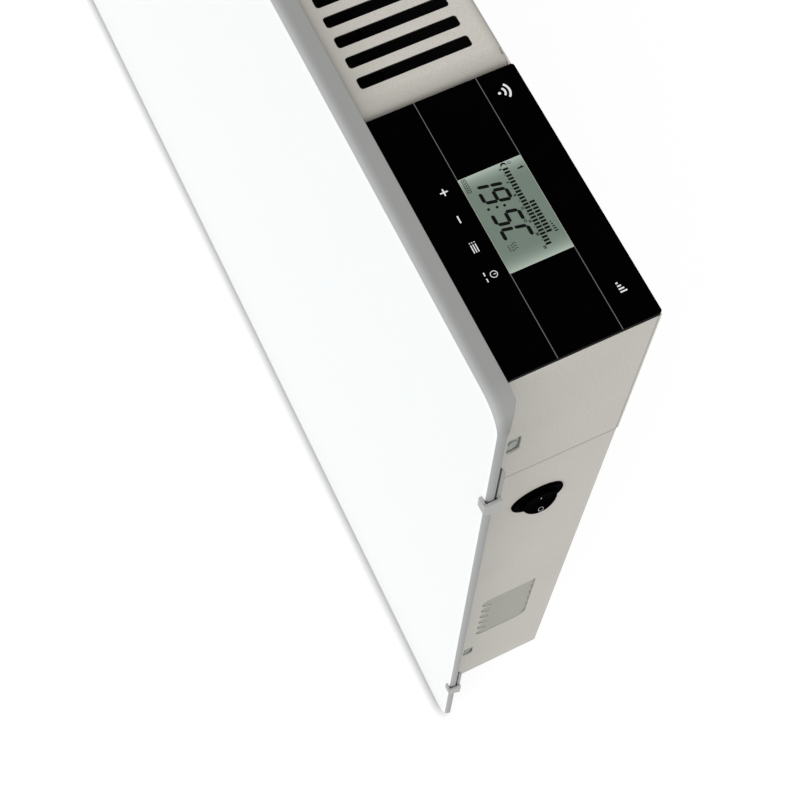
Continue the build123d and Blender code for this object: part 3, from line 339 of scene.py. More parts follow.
backing, tree, shader, place = finish("panel_back")
under = speckle(tree, place, (176, 177, 174), (192, 193, 190), grains=900.0, contrast=1.2,
                roughness=0.55, spread=0.2)
rim = soften(tree, 0.3)
plug(tree, shader, Base_Color=blend_colour(tree, rim["Wear"], under["Color"], shade((205, 206, 204))),
     Roughness=under["Roughness"],
     Normal=raised(tree, under["Height"], strength=0.2, depth=0.03, normal=rim["Normal"]))
coat(backing, "panel_rail_upper", "panel_rail_lower")


def powder_coat(label, dark, light, grains, contrast, roughness, radius, strength):
    """Powder coat or moulded grain: specks, uneven gloss, rounded and slightly lighter edges."""
    made, tree, shader, place = finish(label)
    base = speckle(tree, place, dark, light, grains, contrast, roughness, spread=0.25)
    rim = soften(tree, radius)
    worn = shade([min(255, part + WORN_LIGHTER) for part in light])
    colour = blend_colour(tree, calc(tree, "MULTIPLY", rim["Wear"], WORN_SHARE), base["Color"], worn)
    plug(tree, shader, Base_Color=colour, Roughness=base["Roughness"],
         Normal=raised(tree, base["Height"], strength, depth=0.06, normal=rim["Normal"]))
    return made, tree, shader, place, colour


def within(tree, place, axis, low, high):
    """1 between two places along X, Y or Z and 0 outside, with a short ramp at each end."""
    rise = along(tree, place, axis, low - MASK_SOFT, low)
    return product(tree, rise, along(tree, place, axis, high + MASK_SOFT, high))


lug_coat, *_ = powder_coat("lug_enamel", (158, 165, 158), (176, 182, 175), grains=1300.0, contrast=1.2,
                           roughness=0.5, radius=0.3, strength=0.3)
coat(lug_coat, "panel_lugs")

clip_coat, tree, shader, place, colour = powder_coat(
    "clip_enamel", (158, 159, 156), (180, 181, 178), grains=1300.0, contrast=1.4, roughness=0.5,
    radius=0.3, strength=0.3)
# Painted shade on the lip's side, and a near-black painted shadow for the gap line.
inner = from_middle(tree, place, LIP_X + MASK_SOFT, LIP_X)
for ends, tone in ((LIP_Y, LIP_SHADE), (LIP_GAP_Y, LIP_GAP_SHADE)):
    lip = product(tree, inner, within(tree, place, "Y", *ends))
    colour = blend_colour(tree, lip, colour, shade(tone))
plug(tree, shader, Base_Color=colour)
coat(clip_coat, *(f"panel_clip_{side}_{row}" for side in ("right", "left") for row in ("upper", "lower")))


# ---- Casing sheets -----------------------------------------------------------------------------
# Folded sheet steel in a warm grey, finely textured powder coat. The slots are punched before
# the folds. The inside is painted near black as shade, so that nothing shows through them. The top
# sheet carries painted shade towards its folds and its rolled end.
COAT_DARK = (184, 180, 171)
COAT_LIGHT = (218, 214, 207)
INSIDE_PAINTED_SHADE = (5, 5, 5)
SKIN = (0.16, 0.40)              # below the outer surface, where the painted shade turns the colour black
GRILLE_ROLL_X = (260.1, 269.3)
ROLL_SHADE = (148, 145, 137)
GRILLE_FOLDS = ((-30.0, -26.2, 1.6), (-53.2, -83.2, 2.7))   # start, end and power of each painted shade
FOLD_SHADE = (170, 168, 159)
REAR_INNER_X = 369.5
REAR_INNER_Z = 222.0


def casing_coat(label):
    """Finely textured powder coat of the casing's colour."""
    return powder_coat(label, COAT_DARK, COAT_LIGHT, grains=1500.0, contrast=1.1, roughness=0.52,
                       radius=0.35, strength=0.3)


def paint_inner_shade(tree, shader, place, colour, axis, surface, *ends):
    """Painted shade, near black, from a skin's depth inwards, as far along the other axes as the sheet is
    closed by its neighbours. The rest of its edge keeps its colour."""
    masks = [along(tree, place, axis, surface - SKIN[0], surface - SKIN[1])]
    masks += [along(tree, place, across, limit + 2 * MASK_SOFT, limit) for across, limit in ends]
    plug(tree, shader, Base_Color=blend_colour(tree, product(tree, *masks), colour, shade(INSIDE_PAINTED_SHADE)))


grille_top_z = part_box("top_grille")[1].z / MM
grille_coat, tree, shader, place, colour = casing_coat("grille_enamel")
# Painted shade towards the rolled end and along the rear and front folds.
colour = blend_colour(tree, along(tree, place, "X", *GRILLE_ROLL_X), colour, shade(ROLL_SHADE))
for start, end, power in GRILLE_FOLDS:
    folded = calc(tree, "POWER", along(tree, place, "Y", start, end), power)
    colour = blend_colour(tree, folded, colour, shade(FOLD_SHADE))
paint_inner_shade(tree, shader, place, colour, "Z", grille_top_z, ("X", GRILLE_ROLL_X[0]))
coat(grille_coat, "top_grille")

rear_face_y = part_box("rear_panel")[1].y / MM
rear_coat, tree, shader, place, colour = casing_coat("rear_enamel")
paint_inner_shade(tree, shader, place, colour, "Y", rear_face_y, ("X", REAR_INNER_X), ("Z", REAR_INNER_Z))
coat(rear_coat, "rear_panel")
coat(casing_coat("casing_enamel")[0], "bottom_grille", "front_plate")


# ---- Moulded side and control head -------------------------------------------------------------
# Warm grey moulded plastic with a fine spark-eroded grain, the same colour as the sheets. The
# side splits along a nearly level seam, below which it carries the switch, the windows and the
# vent. The seam's groove, the vent's floor and a streak below each louvre carry painted shade.
MOULDING_DARK = (179, 176, 167)
MOULDING_LIGHT = (211, 208, 200)
SEAM_FRONT = (-82.4, 127.4)      # the seam's front and rear ends as (y, z)
SEAM_BACK = (-26.2, 125.5)
SEAM_FADE = (1.3, 0.25)          # off the seam's middle, where its shade starts and is full
SEAM_SHARE = 0.35
SEAM_SHADE = (134, 131, 124)
JOINT_Y = (-26.7, -26.25)        # line between the head and the rear sheet
JOINT_SHADE = (104, 102, 97)
VENT_Y = (-72.2, -41.6)
VENT_Z = (-140.3, -68.3)
VENT_FLOOR_X = 376.55
VENT_SHADE = (166, 165, 157)
LOUVRE_TOP_Z = -68.6
LOUVRE_PITCH = 11.9
STREAK_Y = (-65.5, -69.5)
STREAK_PART = (0.45, 0.1)        # share of the pitch below each louvre, from no streak to full
STREAK_SHADE = (122, 121, 115)

moulding, tree, shader, place, colour = powder_coat(
    "casing_moulding", MOULDING_DARK, MOULDING_LIGHT, grains=1250.0, contrast=1.4, roughness=0.6,
    radius=0.4, strength=0.4)
split = add(tree, "SeparateXYZ", {0: place}).outputs
seam_slope = (SEAM_BACK[1] - SEAM_FRONT[1]) / (SEAM_BACK[0] - SEAM_FRONT[0])
seam_level = SEAM_FRONT[1] - seam_slope * SEAM_FRONT[0]
# Painted shade along the seam's groove.
above = calc(tree, "MULTIPLY_ADD", split["Y"], -seam_slope, split["Z"])
off_seam = calc(tree, "ABSOLUTE", calc(tree, "SUBTRACT", above, seam_level * MM))
painted_groove_shade = ramp(tree, off_seam, SEAM_FADE[0] * MM, SEAM_FADE[1] * MM, 0.0, SEAM_SHARE)
colour = blend_colour(tree, painted_groove_shade, colour, shade(SEAM_SHADE))
joint = product(tree, along(tree, place, "Y", *JOINT_Y),
                along(tree, place, "Z", SEAM_BACK[1], SEAM_BACK[1] + 1))
colour = blend_colour(tree, joint, colour, shade(JOINT_SHADE))
# Painted shade on the vent's floor, and a painted streak of shade below each louvre.
recess = product(tree, along(tree, place, "X", VENT_FLOOR_X + MASK_SOFT, VENT_FLOOR_X),
                 within(tree, place, "Y", *VENT_Y), within(tree, place, "Z", *VENT_Z))
colour = blend_colour(tree, recess, colour, shade(VENT_SHADE))
pitches = calc(tree, "MULTIPLY_ADD", split["Z"], -1 / (LOUVRE_PITCH * MM), LOUVRE_TOP_Z / LOUVRE_PITCH)
streak = product(tree, recess, ramp(tree, calc(tree, "FRACT", pitches), *STREAK_PART),
                 along(tree, place, "Y", *STREAK_Y))
plug(tree, shader, Base_Color=blend_colour(tree, streak, colour, shade(STREAK_SHADE)))
coat(moulding, "right_cheek", "left_cheek", "head_housing")


# ---- Control glass -----------------------------------------------------------------------------
# A black back-painted glass plate over the whole head, with fine grey lines and white marks
# printed on it. Light smudges show only in its gloss.
black_glass, tree, shader, place = finish("control_glass", Specular_IOR_Level=0.005)
smudge = speckle(tree, place, (0, 0, 0), (2, 2, 3), grains=60.0, contrast=0.8, roughness=0.10, spread=0.10)
rim = soften(tree, 0.3)
plug(tree, shader, Base_Color=smudge["Color"], Roughness=smudge["Roughness"],
     Normal=raised(tree, smudge["Height"], strength=0.02, depth=0.02, normal=rim["Normal"]))
coat(black_glass, "control_glass")


# ---- Printed marks on the glass ----------------------------------------------------------------
# Screen-printed white and grey ink, a few hundredths of a millimetre thick: two long lines,
# plus and minus, a list mark, a clock, a radio mark and a row of level bars.
INK = 0.03
WINDOW_EDGE = 0.05               # the display's window in the paint is this much wider than its cell
LINE_WIDTH = 0.26
LINE_INSET = 0.1
PLUS = (305.7, -70.6)
MINUS = (317.2, -70.6)
LIST, LIST_PITCH = (328.8, -70.7), 0.85
LIST_DOT = (-1.9, 0.22)          # from the mark's middle, and radius
LIST_LINE = (-1.2, 3.3, 0.36)    # from the mark's middle, length and stroke
CLOCK, CLOCK_RADIUS = (340.5, -69.3), 1.22
CLOCK_HAND = (-0.1, 0.95)        # where it starts, from the clock's middle, and its length
DASHES_Y, DASHES_FROM = -72.3, (-1.9, 0.5)
DASH = 1.4
ARM, MINUS_ARM = 1.4, 1.45
STROKE, DASH_STROKE, FINE_STROKE = 0.5, 0.4, 0.24
RADIO, RADIO_DOT = (278.6, -35.5), 0.54
RADIO_ARCS = ((2.15, 45, 16, 0.75), (3.85, 44, 24, 0.8))   # radius, first angle, points, stroke
LEVELS = (361.0, -34.6)
LEVEL_COUNT, LEVEL_PITCH, LEVEL_LOW, LEVEL_STEP, LEVEL_WIDE = 4, 1.15, 0.8, 0.6, 0.55


def strip(path, width, closed=False):
    """Flat ribbon along a path in the plane: each point is moved half the width to either
    side along the mean of the normals of the two runs that meet there, over the cosine of
    half the turn, so that the ribbon keeps its width round the corner."""
    points = np.array(path, float)
    if closed:
        runs = np.roll(points, -1, 0) - points
        before = np.roll(runs, 1, 0)
    else:
        inner = np.diff(points, axis=0)
        runs = np.vstack([inner, inner[-1:]])
        before = np.vstack([inner[:1], inner])
    normals = [np.stack([-run[:, 1], run[:, 0]], 1) / np.linalg.norm(run, axis=1)[:, None]
               for run in (runs, before)]
    mean = normals[0] + normals[1]
    mean /= (np.linalg.norm(mean, axis=1) ** 2)[:, None] / 2
    return points + mean * width / 2, points - mean * width / 2, closed


def line_up(x, y, height, width):
    """Ribbon that stands on a spot and runs straight up."""
    return strip([(x, y), (x, y + height)], width)


def line_across(x, y, length, width):
    """Ribbon that starts at a spot and runs straight to the right."""
    return strip([(x, y), (x + length, y)], width)


def arc(centre, radius, start, end, count):
    """Arc from one angle to another, in degrees from +X towards +Y."""
    angle = np.radians(np.linspace(start, end, count))
    return np.stack([centre[0] + radius * np.cos(angle), centre[1] + radius * np.sin(angle)], 1)


def disc(centre, radius, count=24):
    """Outline of a round dot: points at equal angles all the way round."""
    return arc(centre, radius, 0, 360, count + 1)[:-1]


def ribbon_solid(left, right, closed, low, high):
    """Ribbon with a thickness: both sides at two heights. Each run has a top, a bottom and two
    walls, and an open ribbon has a cap at either end."""
    count = len(left)
    points = np.vstack([np.column_stack([side, np.full(count, level)])
                        for level in (low, high) for side in (left, right)])
    low_left, low_right, top_left, top_right = np.arange(4) * count
    last = count - 1
    i = np.arange(count if closed else last)
    j = (i + 1) % count
    sides = [(top_left + i, top_right + i, top_right + j, top_left + j),
             (low_left + i, low_left + j, low_right + j, low_right + i),
             (low_left + j, low_left + i, top_left + i, top_left + j),
             (low_right + i, low_right + j, top_right + j, top_right + i)]
    faces = [*np.array(sides).transpose(2, 0, 1).reshape(-1, 4)]
    if not closed:
        faces += [(low_left, low_right, top_right, top_left),
                  (low_right + last, low_left + last, top_left + last, top_right + last)]
    return points, faces


def plate_solid(outline, low, high):
    """Flat plate: the outline at two heights, a face on each and a wall along every edge. Its
    points run anticlockwise from above, where the sum of x y' - x' y along it is positive."""
    outline = np.array(outline, float)
    ahead = np.roll(outline, -1, 0)
    if np.sum(outline[:, 0] * ahead[:, 1] - ahead[:, 0] * outline[:, 1]) < 0:
        outline = outline[::-1]
    count = len(outline)
    points = np.vstack([np.column_stack([outline, np.full(count, level)]) for level in (low, high)])
    i = np.arange(count)
    j = (i + 1) % count
    return points, [i[::-1], i + count, *np.stack([i, j, count + j, count + i], 1)]


def new_piece(label, solids, material, body):
    """One piece from several solids, each given as its points and its faces."""
    points, faces, start = [], [], 0
    for solid_points, solid_faces in solids:
        points.append(solid_points)
        faces += [(start + np.array(face)).tolist() for face in solid_faces]
        start += len(solid_points)
    mesh = bpy.data.meshes.new(label)
    mesh.from_pydata((np.vstack(points) * MM).tolist(), [], faces)
    mesh.materials.append(material)
    piece = bpy.data.objects.new(label, mesh)
    bpy.context.scene.collection.objects.link(piece)
    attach(piece, body)
    return piece


def inked(label, shapes, height, material, body):
    """Flat marks as thin closed solids. A shape is a strip or the outline of a plate."""
    top = height + INK
    solids = [ribbon_solid(*shape, height, top) if isinstance(shape, tuple) else
              plate_solid(shape, height, top) for shape in shapes]
    return new_piece(label, solids, material, body)


def ink(label, dark, light):
    """Printed ink: slightly uneven coverage and a dull sheen."""
    made, tree, shader, place = finish(label, Specular_IOR_Level=0.06)
    cover = speckle(tree, place, dark, light, grains=5000.0, contrast=1.2, roughness=0.45, spread=0.2)
    plug(tree, shader, Base_Color=cover["Color"], Roughness=cover["Roughness"],
         Normal=raised(tree, cover["Height"], strength=0.15, depth=0.01))
    return made


glass_low, glass_high = (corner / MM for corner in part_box("control_glass"))
cell_low, cell_high = (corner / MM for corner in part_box("lcd_module"))
glass_z = glass_high.z
window_x = (cell_low.x - WINDOW_EDGE, cell_high.x + WINDOW_EDGE)
window_y = (cell_low.y - WINDOW_EDGE, cell_high.y + WINDOW_EDGE)
white_ink = ink("white_ink", (226, 226, 226), (252, 252, 252))
grey_ink = ink("grey_ink", (96, 96, 97), (122, 122, 123))

line_spans = ((glass_low.x + LINE_INSET, window_x[0]), (window_x[1], glass_high.x - LINE_INSET))
lines = [line_across(start, y, end - start, LINE_WIDTH)
         for y in (window_y[0] + LINE_INSET, window_y[1] - LINE_INSET) for start, end in line_spans]
inked("glass_lines", lines, glass_z, grey_ink, "heater")

marks = [line_across(PLUS[0] - ARM, PLUS[1], 2 * ARM, STROKE),
         line_up(PLUS[0], PLUS[1] - ARM, ARM - STROKE / 2, STROKE),
         line_up(PLUS[0], PLUS[1] + STROKE / 2, ARM - STROKE / 2, STROKE),
         line_across(MINUS[0] - MINUS_ARM, MINUS[1], 2 * MINUS_ARM, STROKE)]
for row in (-1, 0, 1):
    y = LIST[1] + row * LIST_PITCH
    marks += [disc((LIST[0] + LIST_DOT[0], y), LIST_DOT[1], 12),
              line_across(LIST[0] + LIST_LINE[0], y, *LIST_LINE[1:])]
marks += [strip(disc(CLOCK, CLOCK_RADIUS, 36), FINE_STROKE, True),
          line_up(CLOCK[0], CLOCK[1] + CLOCK_HAND[0], CLOCK_HAND[1], FINE_STROKE)]
marks += [line_across(CLOCK[0] + aside, DASHES_Y, DASH, DASH_STROKE) for aside in DASHES_FROM]
inked("key_marks", marks, glass_z, white_ink, "heater")

rear_marks = [disc(RADIO, RADIO_DOT)]
rear_marks += [strip(arc(RADIO, radius, first, 180 - first, count), stroke)
               for radius, first, count, stroke in RADIO_ARCS]
rear_marks += [line_up(LEVELS[0] + i * LEVEL_PITCH, LEVELS[1], LEVEL_LOW + i * LEVEL_STEP, LEVEL_WIDE)
               for i in range(LEVEL_COUNT)]
inked("rear_marks", rear_marks, glass_z, white_ink, "heater")


# ---- Display -----------------------------------------------------------------------------------
# A grey-green liquid crystal cell, paler towards its ends and along its rim with painted light
# from its backlight. Digits, time bars and signs are dark segments just under the face.
CELL_DARK = (112, 126, 115)
CELL_LIGHT = (124, 139, 127)
CELL_PAINTED_GLOW = (184, 196, 184)
CELL_RIM_GLOW = (208, 218, 208)
GLOW_REACH = 9.0
GLOW_POWER = 3.0
RIM_REACH = 0.3
SEGMENTS_DOWN = 0.1              # face of the glass to the underside of the segments
DIGIT_WIDE, DIGIT_HIGH, DIGIT_SLANT, DIGIT_STROKE = 4.35, 9.0, 0.21, 1.28
DIGIT_TIP = 0.42                 # length of a bar's pointed end, as a share of its width
DIGIT_LOW = -59.8
DIGIT_PLACES = (("1", 304.65), ("9", 311.1), ("5", 320.3), ("C", 326.9))
LIT = {"1": "bc", "9": "abcdfg", "5": "acdfg", "C": "adef"}
SEGMENT_ENDS = {"a": ((0, 2), (1, 2)), "b": ((1, 2), (1, 1)), "c": ((1, 1), (1, 0)), "d": ((0, 0), (1, 0)),
                "e": ((0, 1), (0, 0)), "f": ((0, 2), (0, 1)), "g": ((0, 1), (1, 1))}
SEGMENT_GAP = 0.13
DOTS = ((318.85, -54.2), (318.4, -56.8), (318.0, -59.85))
DEGREE = (327.2, -50.5)
DOT_RADIUS, DEGREE_RADIUS = 0.52, 0.45
SIGN_STROKE = 0.2
BAR_FIRST, BAR_PITCH, BAR_WIDE, BAR_TALL = 306.46, 1.37, 0.84, 2.0
BAR_ROWS = ((-48.5, range(24)), (-46.1, range(11, 21)))
ARROWS_X, ARROWS_Y = 308.6, -48.75
ARROW = np.array([(-0.22, 0), (0, -0.4), (0.22, 0)])
MOON = (304.85, -47.5)
MOON_ARCS = ((0.0, 1.1, 59.6, 300.4, 20), (0.6, 0.95, 267.3, 92.7, 16))   # aside, radius, ends, points
SUN, SUN_STROKE = (304.6, -45.25), 0.17
ONE_MARK, ONE_STROKE = [(307.5, -42.3), (308.05, -41.8), (308.05, -43.7)], 0.54
WAVES_X = (333.1, 334.15, 335.2)
WAVES_LOW, WAVES_TALL, WAVES_SWING = -59.75, 2.35, 0.28
WAVES_BASE = (333.0, -60.35, 2.6)   # the line below them: its start and its length
FRAME_X, FRAME_Y = (304.1, 309.5), (-63.35, -61.95)
FLAG = np.array([(0.5, 0.35), (1.2, 0.7), (0.5, 1.05)])
STEPS, STEP_LOW, STEP_RISE, STEP_WIDE = (331.0, -43.3), 0.4, 0.22, 0.45
SIGN_COUNT, SIGN_PITCH = 5, 0.95


def from_ends(tree, output, low, high, reach, power=1.0):
    """1 at both ends of a range and 0 from a reach inwards, falling with a power between."""
    middle, half = (low + high) / 2 * MM, (high - low) / 2 * MM
    away = calc(tree, "ABSOLUTE", calc(tree, "SUBTRACT", output, middle))
    return calc(tree, "POWER", ramp(tree, away, half - reach * MM, half), power)


display, tree, shader, place = finish("display_cell", Specular_IOR_Level=0.08)
split = add(tree, "SeparateXYZ", {0: place}).outputs
cell = speckle(tree, place, CELL_DARK, CELL_LIGHT, grains=700.0, contrast=0.5, roughness=0.3, spread=0.08)
ends = from_ends(tree, split["X"], *window_x, GLOW_REACH, GLOW_POWER)
border = calc(tree, "MAXIMUM", from_ends(tree, split["X"], *window_x, RIM_REACH),
              from_ends(tree, split["Y"], *window_y, RIM_REACH))
# Painted light: paler ends and a pale rim stand in for the backlight.
colour = blend_colour(tree, ends, cell["Color"], shade(CELL_PAINTED_GLOW))
plug(tree, shader, Base_Color=blend_colour(tree, border, colour, shade(CELL_RIM_GLOW)),
     Roughness=cell["Roughness"], Normal=raised(tree, cell["Height"], strength=0.03, depth=0.01))
coat(display, "lcd_module")


def segment(name, left):
    """One bar of a seven-bar digit: a long hexagon between two corners of the digit, cut
    back from them by a small gap, and leaned to the right in proportion to its height."""
    start, end = (np.array([a * DIGIT_WIDE, b * DIGIT_HIGH / 2]) for a, b in SEGMENT_ENDS[name])
    run = (end - start) / np.linalg.norm(end - start)
    side = np.array([-run[1], run[0]]) * DIGIT_STROKE / 2
    tip = run * DIGIT_STROKE * DIGIT_TIP
    start, end = start + run * SEGMENT_GAP, end - run * SEGMENT_GAP
    shape = np.array([start, start + tip + side, end - tip + side,
                      end, end - tip - side, start + tip - side])
    shape[:, 0] += shape[:, 1] * DIGIT_SLANT + left
    shape[:, 1] += DIGIT_LOW
    return shape


segments = [segment(bar, left) for digit, left in DIGIT_PLACES for bar in LIT[digit]]
segments += [disc(spot, DOT_RADIUS, 16) for spot in DOTS]
segments += [strip(disc(DEGREE, DEGREE_RADIUS, 20), SIGN_STROKE, True)]
segments += [line_up(BAR_FIRST + i * BAR_PITCH, low, BAR_TALL, BAR_WIDE)
             for low, row in BAR_ROWS for i in row]
segments += [ARROW + (ARROWS_X + i * 4 * BAR_PITCH, ARROWS_Y) for i in range(6)]
segments += [strip(disc(SUN, DOT_RADIUS), SUN_STROKE, True), strip(ONE_MARK, ONE_STROKE)]
segments.append(np.vstack([arc((MOON[0] + aside, MOON[1]), *bend) for aside, *bend in MOON_ARCS]))
share = np.linspace(0, 1, 17)
wave_x, wave_y = WAVES_SWING * np.sin(share * 2 * math.pi), WAVES_LOW + share * WAVES_TALL
segments += [strip(np.stack([x + wave_x, wave_y], 1), SIGN_STROKE) for x in WAVES_X]
segments.append(line_across(*WAVES_BASE, SIGN_STROKE))
frame_corners = [(FRAME_X[a], FRAME_Y[b]) for a, b in ((0, 0), (1, 0), (1, 1), (0, 1))]
segments.append(strip(frame_corners, SIGN_STROKE, True))
segments += [FLAG + (FRAME_X[0] + i * SIGN_PITCH, FRAME_Y[0]) for i in range(SIGN_COUNT)]
segments += [line_up(STEPS[0] + i * SIGN_PITCH, STEPS[1], STEP_LOW + i * STEP_RISE, STEP_WIDE)
             for i in range(SIGN_COUNT)]
crystal = ink("dark_crystal", (2, 3, 2), (7, 9, 7))
inked("display_segments", segments, glass_z - SEGMENTS_DOWN, crystal, "heater")


# ---- Scale digits of the display ---------------------------------------------------------------
# Small plain figures under the time bars, one at every fourth hour. They are segments of the
# same crystal, a little bolder than the type's own stroke.
HOURS_FIRST, HOURS_Y = 305.95, -49.25
HOURS_SIZE = 1.3
HOURS_BOLD = 0.05                # added all round the type's outline


def figure_solid(text, x, y, height):
    """Plain digits as one closed solid: the text is made a mesh and then moved to its place."""
    line = bpy.data.curves.new("figure", "FONT")
    line.body = text
    line.size = HOURS_SIZE * MM
    line.align_x = "CENTER"
    line.align_y = "CENTER"
    line.extrude = INK * MM / 2
    line.offset = HOURS_BOLD * MM
    line.resolution_u = 3
    holder = bpy.data.objects.new("figure", line)
    bpy.context.scene.collection.objects.link(holder)
    solid = bpy.data.meshes.new_from_object(holder.evaluated_get(bpy.context.evaluated_depsgraph_get()))
    points = np.zeros(len(solid.vertices) * 3)
    solid.vertices.foreach_get("co", points)
    faces = [tuple(face.vertices) for face in solid.polygons]
    bpy.data.objects.remove(holder)
    bpy.data.meshes.remove(solid)
    bpy.data.curves.remove(line)
    return points.reshape(-1, 3) / MM + (x, y, height + INK / 2), faces


hours = [figure_solid(str(4 * i), HOURS_FIRST + i * 4 * BAR_PITCH, HOURS_Y, glass_z - SEGMENTS_DOWN)
         for i in range(7)]
new_piece("display_hours", hours, crystal, "heater")


# ---- Mains switch ------------------------------------------------------------------------------
# A round snap-in rocker switch in black plastic: a satin body, a glossier rocker with a
# printed line and ring, and brass blades behind.
PIVOT = (376.3, -56.7, 81.1)
ROCKER_TILT = 10.0
ROCKER_FACE = 3.6
ROCKER_DISH_RADIUS = 34.52
ON_LINE = (0.2, 2.85, 1.2, 0.45)  # from the rocker's middle: across, up, length and stroke
OFF_RING, OFF_RADIUS, OFF_STROKE = (0.0, -5.5), 1.2, 0.2
BLACK_WORN = 3


def black_plastic(label, dark, light, grains, roughness):
    """Black moulded plastic with a fine grain and slightly greyer, rounded edges."""
    made, tree, shader, place = finish(label, Specular_IOR_Level=0.0005)
    base = speckle(tree, place, dark, light, grains, contrast=1.2, roughness=roughness, spread=0.2)
    rim = soften(tree, 0.3)
    worn = shade([part + BLACK_WORN for part in light])
    plug(tree, shader, Base_Color=blend_colour(tree, rim["Wear"], base["Color"], worn),
         Roughness=base["Roughness"],
         Normal=raised(tree, base["Height"], strength=0.25, depth=0.03, normal=rim["Normal"]))
    return made


coat(black_plastic("satin_black", (0, 0, 0), (3, 3, 3), grains=1800.0, roughness=0.5), "switch_body",
     "wall_spacers", "lcd_frame", "cable_gland", "relay", "supply_capacitor")
coat(black_plastic("rocker_black", (0, 0, 0), (2, 2, 2), grains=900.0, roughness=0.35), "switch_rocker")


def on_rocker(label, shapes, material):
    """Marks on the rocker's face. The face is a shallow trough: its height grows with the
    square-root law of a circle across Z, and the whole is then turned back by the tilt."""
    piece = inked(label, shapes, 0.0, material, "rocker")
    co = np.zeros(len(piece.data.vertices) * 3)
    piece.data.vertices.foreach_get("co", co)
    across, up, out = co.reshape(-1, 3).T / MM
    trough = ROCKER_FACE + ROCKER_DISH_RADIUS - np.sqrt(ROCKER_DISH_RADIUS ** 2 - up ** 2) + out
    turn = math.radians(ROCKER_TILT)
    placed = np.stack([PIVOT[0] + trough * math.cos(turn) - up * math.sin(turn), PIVOT[1] + across,
                       PIVOT[2] + trough * math.sin(turn) + up * math.cos(turn)], 1) * MM
    piece.data.vertices.foreach_set("co", placed.ravel())
    piece.data.update()


pale_ink = ink("pale_ink", (176, 176, 176), (208, 208, 208))
rocker_marks = [line_up(*ON_LINE), strip(disc(OFF_RING, OFF_RADIUS, 28), OFF_STROKE, True)]
on_rocker("rocker_marks", rocker_marks, pale_ink)


# ---- Screws ------------------------------------------------------------------------------------
# Pan-head screws with a cross recess and a rolled thread. Zinc-plated ones hold the clips
# and the rear sheet, and painted ones sit in the lugs behind the service windows.
SCREW_TURNS = 48
DOME_POINTS = 15
DOME_RISE = 0.35                 # share of the head's thickness
RECESS_HALF, RECESS_SOFT = 0.13, 0.05      # half a slot's width and its soft edge, and then its
RECESS_REACH, RECESS_END = 0.62, 0.1       # length and soft end, as shares of the head's radius
RECESS_DEPTH = 0.45              # share of the head's thickness
THREAD_PITCH = 0.7
THREAD_DEPTH = 0.16              # share of the shank's radius
THREAD_STEP = 0.25
POINT_FROM = 0.93                # share of the shank's length where its point starts
SHANK_RADIUS = 1.4
CASING_SCREW = (3.0, 1.6, 6.0)   # radius and thickness of the head, length of the shank
LUG_SCREW = (1.8, 0.9, 5.0)
CLIP_SCREW_X, CLIP_SCREW_Y = 364.2, -84.4
CLIP_SCREW_Z = (150.75, 174.25, -182.25, -158.75)
REAR_SIDE_X = 369.0
REAR_SIDE_Z = (161.0, 60.0, -60.0, -200.0)
REAR_ROW_X = (-239.5, -16.9, 205.7)
REAR_ROW_Z = (-224.5, 224.5)
LUG_SCREW_X, LUG_SCREW_Y = 375.5, -74.65
LUG_SCREW_Z = (161.9, -173.5)

plated, tree, shader, place = finish("screw_zinc", Metallic=1.0)
zinc = speckle(tree, place, (150, 152, 152), (196, 198, 198), grains=2200.0, contrast=1.0,
               roughness=0.34, spread=0.25)
rim = soften(tree, 0.12)
plug(tree, shader, Base_Color=zinc["Color"], Roughness=zinc["Roughness"],
     Normal=raised(tree, zinc["Height"], strength=0.15, depth=0.01, normal=rim["Normal"]))


def screw_solid(head, head_thick, shank):
    """Screw along +Z with its head below zero. The outline is turned round the axis: the
    dome's height falls with the square of the radius, and the thread's radius is a wave
    along the shank. The recess sinks the head where a point is near one of two crossed
    slots, with a smooth edge, less towards the rim."""
    angle = np.arange(SCREW_TURNS) / SCREW_TURNS * 2 * math.pi
    dome = np.linspace(0.001, 1, DOME_POINTS)
    level = np.linspace(0, 1, int(shank / THREAD_STEP))
    thread = 1 - THREAD_DEPTH * (0.5 - 0.5 * np.cos(level * shank / THREAD_PITCH * 2 * math.pi))
    point = (1 - level) / (1 - POINT_FROM) * 0.8 + 0.1
    radius = np.concatenate([dome * head, (head, head * 0.97, SHANK_RADIUS),
                             SHANK_RADIUS * np.where(level < POINT_FROM, thread, point)])[:, None]
    height = np.concatenate([head_thick * (DOME_RISE * dome ** 2 - 1), (-head_thick * 0.2, 0.0, 0.0),
                             level * shank])[:, None]
    x, y = radius * np.cos(angle), radius * np.sin(angle)
    slot = np.minimum(np.abs(x), np.abs(y))
    near_slot = np.clip((RECESS_HALF * head - slot) / (RECESS_SOFT * head) + 1, 0, 1)
    near_middle = np.clip((RECESS_REACH * head - radius) / (RECESS_END * head), 0, 1)
    sunk = near_slot * near_middle * RECESS_DEPTH * head_thick * (1 - 0.5 * radius / head)
    rings = len(radius)
    on_head = (np.arange(rings) < len(dome))[:, None]
    points = np.stack([x, y, height + np.where(on_head, sunk, 0)], -1).reshape(-1, 3)
    a, b = np.meshgrid(np.arange(rings - 1), np.arange(SCREW_TURNS), indexing="ij")
    c = (b + 1) % SCREW_TURNS
    corners = (a, b), (a + 1, b), (a + 1, c), (a, c)
    faces = np.stack([ring * SCREW_TURNS + spot for ring, spot in corners], -1).reshape(-1, 4)
    around = np.arange(SCREW_TURNS)
    return points, [*faces, around, (rings - 1) * SCREW_TURNS + around[::-1]]


def screws(label, node, places, sizes, material):
    """One piece with a screw at each place, which gives the spot and the driving direction."""
    points, faces = screw_solid(*sizes)
    solids = [(points @ np.array(Vector(direction).to_track_quat("Z", "Y").to_matrix()).T + spot, faces)
              for spot, direction in places]
    piece = new_piece(label, solids, material, "heater")
    piece.data.polygons.foreach_set("use_smooth", [True] * len(piece.data.polygons))
    piece.data.set_sharp_from_angle(angle=math.radians(40))
    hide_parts(node)


